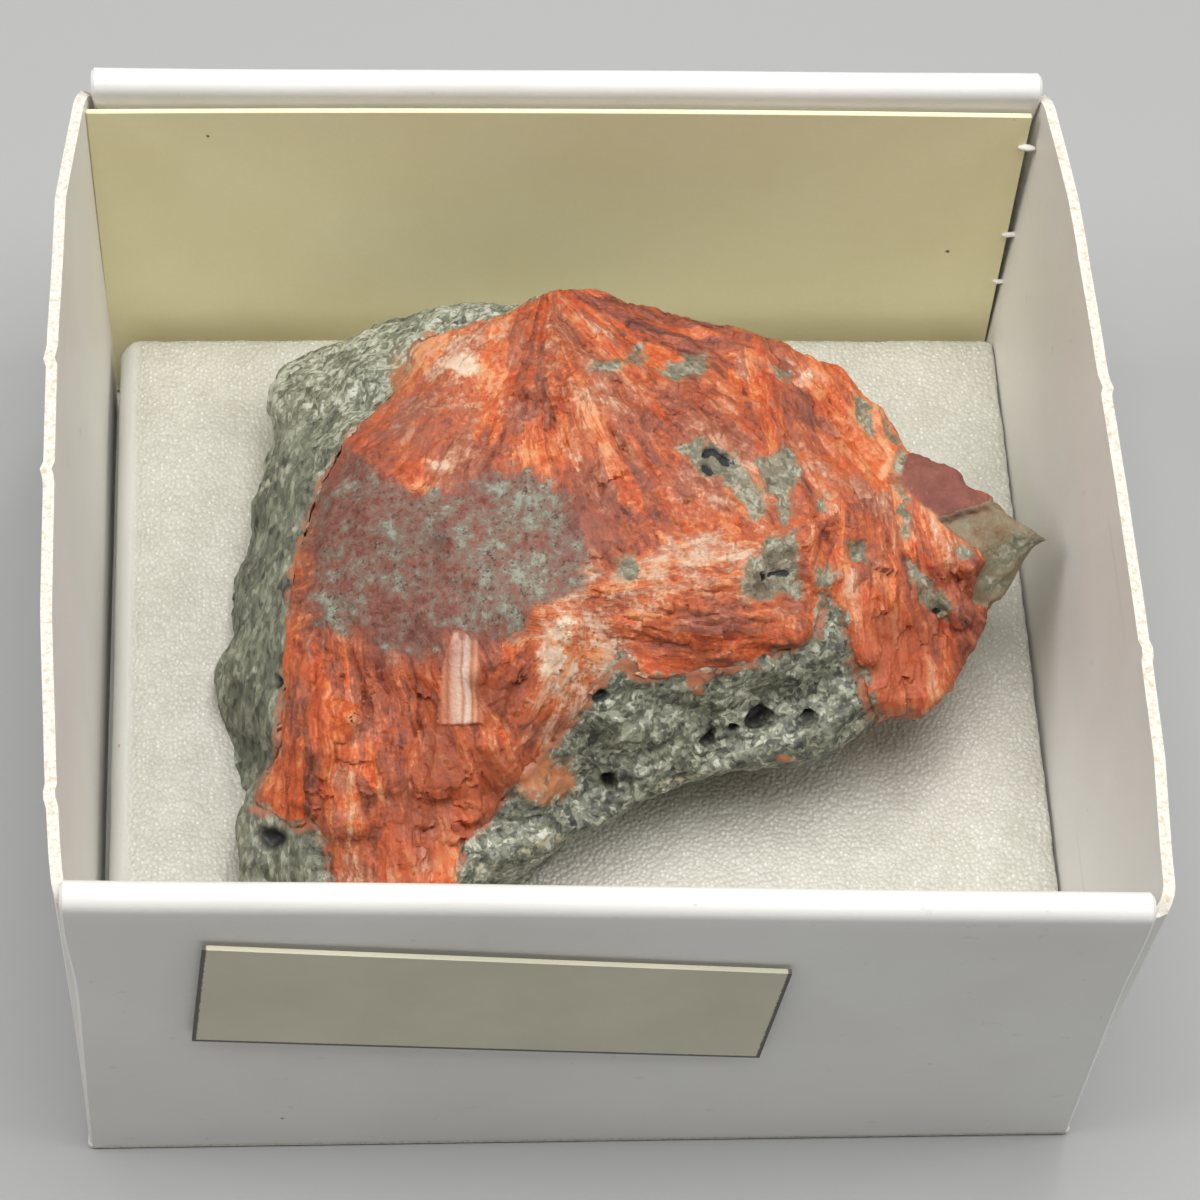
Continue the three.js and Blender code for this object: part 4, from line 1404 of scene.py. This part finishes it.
# Where the rock gets brighter, and where its layered part is, in pixels
BRIGHT_ZONE = (500, 400)
LAYERED_ACROSS = (330, 290)
LAYERED_DOWN = (380, 460)
points = get_points(rock)
normals = get_normals(rock)
pixels = in_photo(points)
facing = step(*FACING_ZONE, normals @ OUT)
rough_pixels = ragged(points, pixels)
pit = np.zeros(len(points))
for across_at, down_at, size in PITS:
    far = np.hypot(rough_pixels[:, 0] - across_at, rough_pixels[:, 1] - down_at) / size
    pit = np.maximum(pit, facing * step(*PIT_EDGE, far))
rise = 0.22 * lumps(points, 3.0, 71) + 0.2 * lumps(points, 1.3, 73)
rise += 0.12 * np.abs(lumps(points, 0.6, 75)) + 0.07 * lumps(points, 0.3, 77) - PIT_DEEP * pit
by_crust = depth_to(points, crust, 1.0)
rise -= JOINT_DEEP * step(0.2, 0.9, by_crust + 0.4 * lumps(points, 0.8, 79))
points += normals * rise[:, None]
points[:, 2] = np.maximum(points[:, 2], REST)
set_points(rock, lift_rim(points))
store(rock, "pit", pit)
store(rock, "by_crust", by_crust)
store(rock, "bright", facing * step(*BRIGHT_ZONE, pixels[:, 1]))
store(rock, "stain", facing * ovals(rough_pixels, STAINS, 0.5))
store(rock, "cream", facing * outlines(pixels, [CREAM_EDGE], 2))
layered = step(*LAYERED_ACROSS, pixels[:, 0]) * step(*LAYERED_DOWN, pixels[:, 1])
store(rock, "layered", layered)
print("rock rises between", rise.min().round(2), "and", rise.max().round(2), "mm")

# %% [markdown]
# The rock's colour is a mosaic of small grains, dark, green-grey and pale. Cells of a Voronoi
# pattern are those grains, each with one random grey, in two sizes. On the left side the rock
# is layered, so there the same pattern is stretched along the layers.

# %% Rock recipe
COARSE_GRAINS = 2500
FINE_GRAINS = 6400
# The layered part: its stretch and turn, and its coarse and fine grains
LAYERS = ((1.5, 0.6, 0.34), (0.0, 0.12, 0.2))
LAYERED_COARSE = 2300
LAYERED_FINE = 5200
WARP = 0.00055


def grains(tree, place, per_metre):
    cells = node(tree, "TexVoronoi", {"Vector": place, "Scale": per_metre}, feature="F1")
    return node(tree, "SeparateColor", {0: cells.outputs["Color"]}).outputs[0]


def rock_colour(tree, bright, layered=None):
    """The rock's colour, and the grey value that it comes from"""
    place = object_place(tree)
    inputs = {"Vector": place, "Scale": 1500.0, "Detail": 3.0}
    inputs = {0: WARP, 4: place, 5: node(tree, "TexNoise", inputs).outputs["Color"]}
    warped = node(tree, "Mix", inputs, data_type="VECTOR", clamp_factor=False).outputs[1]
    cloud = noise(tree, place, 700, 5, 0.65)
    fine = times(tree, grains(tree, warped, FINE_GRAINS), 0.34)
    value = times_plus(tree, grains(tree, warped, COARSE_GRAINS), 0.34, fine)
    value = times_plus(tree, cloud, 0.8, value)
    value = maths(tree, "SUBTRACT", value, 0.24)
    if layered is not None:
        long_place = object_place(tree, *LAYERS)
        strands = times(tree, grains(tree, long_place, LAYERED_FINE), 0.26)
        strands = times_plus(tree, grains(tree, long_place, LAYERED_COARSE), 0.22, strands)
        strands = times_plus(tree, cloud, 0.7, strands)
        strands = maths(tree, "SUBTRACT", strands, 0.09)
        value = mix_value(tree, layered, value, strands)
    value = times_plus(tree, bright, 0.14, value)
    colour = ramp(tree, value, [
        (0.2, srgb(48, 49, 46)), (0.36, srgb(84, 86, 74)), (0.5, srgb(110, 112, 95)),
        (0.64, srgb(138, 140, 120)), (0.84, srgb(190, 190, 174)),
    ])
    return colour, value


# %% Rock material
rock_stone, tree, shader = new_material("grey_rock_stone")
place = object_place(tree)
colour, value = rock_colour(tree, own_value(tree, "bright"), own_value(tree, "layered"))
stain = times(tree, own_value(tree, "stain"), noise(tree, place, 2100, 4, 0.7))
colour = mix(tree, ramp(tree, stain, [(0.3, 0.0), (0.55, 0.9)]), colour, srgb(180, 110, 64))
stained = times(tree, own_value(tree, "by_crust"), noise(tree, place, 1100, 4))
colour = mix(tree, ramp(tree, stained, [(0.36, 0.0), (0.5, 0.75)]), colour, srgb(176, 104, 70))
cream = ramp(tree, noise(tree, place, 1900, 4, 0.7), [(0.48, 0.0), (0.6, 0.85)])
colour = mix(tree, times(tree, own_value(tree, "cream"), cream), colour, srgb(200, 188, 150))
# The pits are also painted near black: painted shade deep inside the holes
colour = mix(tree, own_value(tree, "pit"), colour, srgb(24, 24, 24))
tree.links.new(colour, shader.inputs["Base Color"])
tree.links.new(ramp(tree, value, [(0.3, 0.55), (0.8, 0.38)]), shader.inputs["Roughness"])
tree.links.new(bump(tree, value, 0.12 * MM, 0.8), shader.inputs["Normal"])
rock.data.materials.append(rock_stone)
print("the rock's material has", len(tree.nodes), "nodes")

# %% [markdown]
# A zone's edge on stone is never a clean line, because single grains of it lie past the edge. So
# a zone's value, which falls off softly, is pushed up and down by a fine noise before it is cut.

# %% Edges broken into specks


def broken(tree, name, per_metre=2400.0, spread=0.9, soft=0.06):
    """A zone whose edge breaks up into specks"""
    speck = maths(tree, "SUBTRACT", noise(tree, object_place(tree), per_metre, 5, 0.7), 0.5)
    value = times_plus(tree, speck, spread * 2, own_value(tree, name))
    inside = ramp(tree, own_value(tree, name), [(0.02, 0.0), (0.15, 1.0)])
    return times(tree, inside, ramp(tree, value, [(0.5 - soft, 0.0), (0.5 + soft, 1.0)]))


# %% [markdown]
# Stellerite grows in sheaves of thin blades, and each blade lets a little more or less light
# through. The patterns here stand for that. Streaks and splinters read the place across and
# along a fan, so they are long along the blades and turn with them. Clouds, crumbs and sparkle
# have no direction, and they show where the crust is granular.

# %% Patterns along the blades
FAN_WAVE = 0.5


def own_place(tree, name):
    """A place that the piece stores under this name"""
    return node(tree, "Attribute", attribute_name=name).outputs["Vector"]


def stretched(tree, place, across, along):
    inputs = {"Vector": place, "Scale": (across, along, 1.0)}
    return node(tree, "Mapping", inputs).outputs["Vector"]


def streaks(tree, place, across, along, detail=4, rough=0.6):
    """Soft stripes along the fibres, from -0.5 to 0.5"""
    value = noise(tree, stretched(tree, place, across, along), 1.0, detail, rough)
    return maths(tree, "SUBTRACT", value, 0.5)


def splinters(tree, place, across, along):
    """Long cells along the fibres, each with one random value from -0.5 to 0.5"""
    return maths(tree, "SUBTRACT", grains(tree, stretched(tree, place, across, along), 1.0), 0.5)


blades_stone, tree, shader = new_material("stellerite_stone")
inputs = {"Vector": object_place(tree), "Scale": 700.0, "Detail": 3.0}
wave = node(tree, "TexNoise", inputs).outputs["Color"]
wave = node(tree, "VectorMath", {0: wave, "Scale": FAN_WAVE}, operation="SCALE").outputs[0]
fan = node(tree, "VectorMath", {0: own_place(tree, "fan"), 1: wave}, operation="ADD").outputs[0]
band = streaks(tree, fan, 1.0, 0.14, 3)
long_blades = splinters(tree, fan, 1.7, 0.24)
thin_blades = splinters(tree, fan, 6.0, 0.9)
thread = streaks(tree, fan, 6.0, 0.7, 5, 0.7)
lath_streak = streaks(tree, own_place(tree, "fibre"), 12.0, 1.0, 3)
crumbs = maths(tree, "SUBTRACT", grains(tree, object_place(tree), 5600), 0.5)
cloud = maths(tree, "SUBTRACT", noise(tree, object_place(tree), 950, 5, 0.65), 0.5)
sparkle = maths(tree, "SUBTRACT", noise(tree, object_place(tree), 6500, 4, 0.75), 0.5)
print("patterns use", len(tree.nodes), "nodes")

# %% [markdown]
# Iron colours stellerite brick red to orange, and a blade turns paler where it splits into fine
# layers. So one ramp runs from dark red to almost white. What picks the place on it is the tone
# stored on the laths, moved by the patterns: more by the streaks where the crust is fibrous, and
# more by clouds and crumbs where it is granular.

# %% Tone and colour of the blades
ALONG = ((band, 0.7), (long_blades, 0.2), (thin_blades, 0.2), (thread, 0.4), (lath_streak, 0.2))
ALL_ROUND = ((cloud, 0.55), (crumbs, 0.14), (sparkle, 0.3))
PALER = 0.34
granular = own_value(tree, "granular")
fibrous = times_plus(tree, granular, -0.65, 1.0)
grainy = maths(tree, "SUBTRACT", 2.0, fibrous)
tone = own_value(tree, "tone")
for layers, share in ((ALONG, fibrous), (ALL_ROUND, grainy)):
    for layer, amount in layers:
        tone = times_plus(tree, times(tree, layer, share), amount, tone)
tone = times_plus(tree, own_value(tree, "pale"), PALER, tone)
colour = ramp(tree, tone, [
    (0.10, srgb(86, 39, 26)), (0.28, srgb(140, 71, 48)), (0.42, srgb(173, 87, 54)),
    (0.54, srgb(193, 95, 48)), (0.66, srgb(205, 125, 83)), (0.80, srgb(216, 167, 135)),
    (0.95, srgb(229, 208, 183)),
])

# %% [markdown]
# Weather has made some blades dull and brownish, and others are still clear, with a deep orange
# glow. Both are mixed in over large clouds, and the clear blades keep away from the dull ones.

# %% Dull and clear blades
dull_colour = ramp(tree, tone, [
    (0.15, srgb(104, 56, 42)), (0.42, srgb(147, 84, 62)), (0.6, srgb(175, 115, 88)),
    (0.82, srgb(212, 177, 149)),
])
weather = times_plus(tree, long_blades, 0.12, noise(tree, object_place(tree), 480, 5, 0.65))
weather = times_plus(tree, granular, 0.06, weather)
colour = mix(tree, ramp(tree, weather, [(0.48, 0.0), (0.58, 0.8)]), colour, dull_colour)
glow = times_plus(tree, band, -0.5, maths(tree, "ADD", long_blades, 0.5))
glow = times_plus(tree, weather, -0.8, glow)
glow_colour = ramp(tree, tone, [
    (0.2, srgb(158, 58, 21)), (0.5, srgb(212, 91, 33)), (0.75, srgb(227, 145, 85)),
])
colour = mix(tree, ramp(tree, glow, [(0.2, 0.0), (0.36, 0.7)]), colour, glow_colour)

# %% [markdown]
# Chipped ends of blades are pale, and the gaps between them are dark with painted shade. Both
# show as flecks that come in swarms, so a coarse noise is added to fine grains before the highest
# and the lowest values are taken.

# %% Pale flecks and painted shade in the gaps
swarms = noise(tree, object_place(tree), 800, 4, 0.6)
speckle = times_plus(tree, swarms, 0.9, grains(tree, object_place(tree), 9500))
speckle = times_plus(tree, granular, 0.1, speckle)
colour = mix(tree, ramp(tree, speckle, [(1.22, 0.0), (1.26, 0.8)]), colour, srgb(223, 192, 161))
# The dark flecks are painted shade in the gaps between blades
painted_gap_shade = times_plus(tree, granular, 0.6, 0.2)
painted_gap_shade = times(tree, painted_gap_shade, ramp(tree, speckle, [(0.5, 0.7), (0.56, 0.0)]))
colour = mix(tree, painted_gap_shade, colour, srgb(112, 56, 38))

# %% [markdown]
# One broad blade lies bare, broken along its flat, so it is pearly and striped lengthwise. Its
# stripes are read across the blade from one ramp, and the thread pattern makes them waver.

# %% Broad bare blade
stripe = times_plus(tree, thread, 0.1, own_value(tree, "blade_across"))
stripe_colour = ramp(tree, stripe, [
    (0.04, srgb(167, 87, 58)), (0.12, srgb(215, 148, 115)), (0.2, srgb(188, 104, 71)),
    (0.28, srgb(226, 184, 158)), (0.42, srgb(236, 211, 194)), (0.47, srgb(203, 133, 101)),
    (0.53, srgb(239, 228, 216)), (0.62, srgb(234, 205, 186)), (0.68, srgb(192, 112, 76)),
    (0.78, srgb(222, 167, 136)), (0.86, srgb(177, 97, 63)), (0.96, srgb(203, 124, 89)),
])
stripe_colour = mix(tree, 0.25, stripe_colour, srgb(205, 132, 98))
colour = mix(tree, own_value(tree, "blade"), colour, stripe_colour)

# %% [markdown]
# In the middle lies a weathered patch, red-brown at its rim and grey-green at its core, with
# dark and pale specks. The kind of grain is picked by a mottled noise that the core moves
# towards grey.

# %% Colours of the weathered patch
cool, _ = rock_colour(tree, bright=0.4)
cool = mix(tree, 0.25, cool, srgb(128, 138, 110))
mottle = noise(tree, object_place(tree), 1500, 5, 0.7)
drift = maths(tree, "SUBTRACT", noise(tree, object_place(tree), 420, 3), 0.5)
kind = times_plus(tree, own_value(tree, "core"), 0.09, mottle)
for layer, amount in ((crumbs, 0.1), (drift, 0.45), (sparkle, 0.2)):
    kind = times_plus(tree, layer, amount, kind)
patch_colour = ramp(tree, kind, [
    (0.34, srgb(99, 55, 46)), (0.46, srgb(129, 78, 65)), (0.54, srgb(127, 95, 82)),
    (0.63, srgb(125, 114, 99)), (0.76, srgb(148, 156, 139)),
])
speck_value = noise(tree, object_place(tree), 4200, 4, 0.75)
dark_specks = ramp(tree, speck_value, [(0.37, 0.85), (0.44, 0.0)])
patch_colour = mix(tree, dark_specks, patch_colour, srgb(63, 46, 40))
pale_specks = ramp(tree, speck_value, [(0.62, 0.0), (0.68, 0.6)])
patch_colour = mix(tree, pale_specks, patch_colour, srgb(186, 133, 110))

# %% [markdown]
# Around the patch the blades are only dusty, and between them lie glassy blades. Bits of the grey
# rock are grown into the crust, each with a thin rusty yellow rim. These zones are laid over the
# blades one after the other, so the order of these lines matters.

# %% Patch, dust and inclusions
halo = times(tree, own_value(tree, "halo"), ramp(tree, mottle, [(0.35, 0.9), (0.62, 0.2)]))
colour = mix(tree, halo, colour, srgb(141, 84, 68))
colour = mix(tree, times(tree, own_value(tree, "glass"), 0.6), colour, srgb(160, 80, 50))
patch = times(tree, broken(tree, "patch", 1500.0, 1.0, 0.25), 0.95)
colour = mix(tree, patch, colour, patch_colour)
rim = ramp(tree, own_value(tree, "grey"), [(0.05, 0.0), (0.5, 0.55), (0.95, 0.0)])
rim = times(tree, rim, ramp(tree, mottle, [(0.4, 0.0), (0.6, 1.0)]))
colour = mix(tree, rim, colour, srgb(152, 133, 93))
colour = mix(tree, times(tree, broken(tree, "grey", 2000.0, 1.6, 0.2), 0.9), colour, cool)

# %% [markdown]
# The right end has a dark maroon facet and an olive tip that turns grey-green. Along the joint
# with the rock the crust takes up grains of it, under the facet's ledge a dark line is painted
# as its shadow, and a few small spots are black.

# %% Facet, tip, joint and painted ledge shadow
maroon_colour = ramp(tree, mottle, [(0.3, srgb(118, 65, 53)), (0.7, srgb(144, 87, 74))])
flecks = ramp(tree, speck_value, [(0.6, 0.0), (0.68, 0.6)])
maroon_colour = mix(tree, flecks, maroon_colour, srgb(178, 120, 100))
colour = mix(tree, own_value(tree, "maroon"), colour, maroon_colour)
near_rock = times(tree, own_value(tree, "by_rock"), noise(tree, object_place(tree), 1400, 4))
colour = mix(tree, ramp(tree, near_rock, [(0.42, 0.0), (0.50, 0.85)]), colour, cool)
olive_colour = ramp(tree, mottle, [
    (0.35, srgb(136, 106, 76)), (0.6, srgb(146, 134, 108)), (0.8, srgb(140, 154, 136)),
])
teal = times(tree, own_value(tree, "teal"), ramp(tree, crumbs, [(0.0, 0.5), (0.3, 1.0)]))
olive_colour = mix(tree, teal, olive_colour, cool)
colour = mix(tree, broken(tree, "olive", 2400.0, 0.5), colour, olive_colour)
# Painted shadow: a dark line under the ledge of the maroon facet
colour = mix(tree, times(tree, own_value(tree, "ledge_shadow"), 0.7), colour, srgb(84, 48, 38))
colour = mix(tree, broken(tree, "black", 3000.0, 1.4, 0.15), colour, srgb(38, 38, 40))
tree.links.new(colour, shader.inputs["Base Color"])

# %% [markdown]
# Fresh blades are glossy, some more than others, while the weathered patch and the facet are
# dull. A little light goes into the mineral and comes out red beside where it went in. The
# finest relief is a bump, because points for it would be far too many.

# %% Surface of the crust
WEATHERED_ROUGH = 0.7
LIGHT_INSIDE = {
    "Subsurface Weight": 0.1,
    "Subsurface Radius": (1.0, 0.35, 0.2),
    "Subsurface Scale": 0.3 * MM,
}
dull = maths(tree, "MAXIMUM", own_value(tree, "patch"), own_value(tree, "maroon"))
shine = ramp(tree, maths(tree, "ADD", thin_blades, 0.5), [(0.2, 0.6), (0.9, 0.3)])
rough = mix_value(tree, dull, shine, WEATHERED_ROUGH)
tree.links.new(rough, shader.inputs["Roughness"])
for name, value in LIGHT_INSIDE.items():
    shader.inputs[name].default_value = value
height = times_plus(tree, sparkle, 0.5, times(tree, thread, 0.5))
height = times_plus(tree, thin_blades, 0.3, height)
height = times_plus(tree, crumbs, 0.25, height)
tree.links.new(bump(tree, height, 0.13 * MM, 0.85), shader.inputs["Normal"])
crust.data.materials.append(blades_stone)
print("the crust's material has", len(tree.nodes), "nodes")

# %% [markdown]
# Rock and crust are shaded smooth, but edges sharper than the limit stay sharp, as on broken
# stone. Each piece then takes the place of its solid.

# %% Finish the specimen
SHARP_EDGE = math.radians(38)
for piece, slot, node_name in ((crust, "stellerite", "stellerite_crust"), (rock, "rock", "matrix_rock")):
    only(piece)
    bpy.ops.object.shade_smooth_by_angle(angle=SHARP_EDGE)
    finish_piece(piece, slot, node_name)
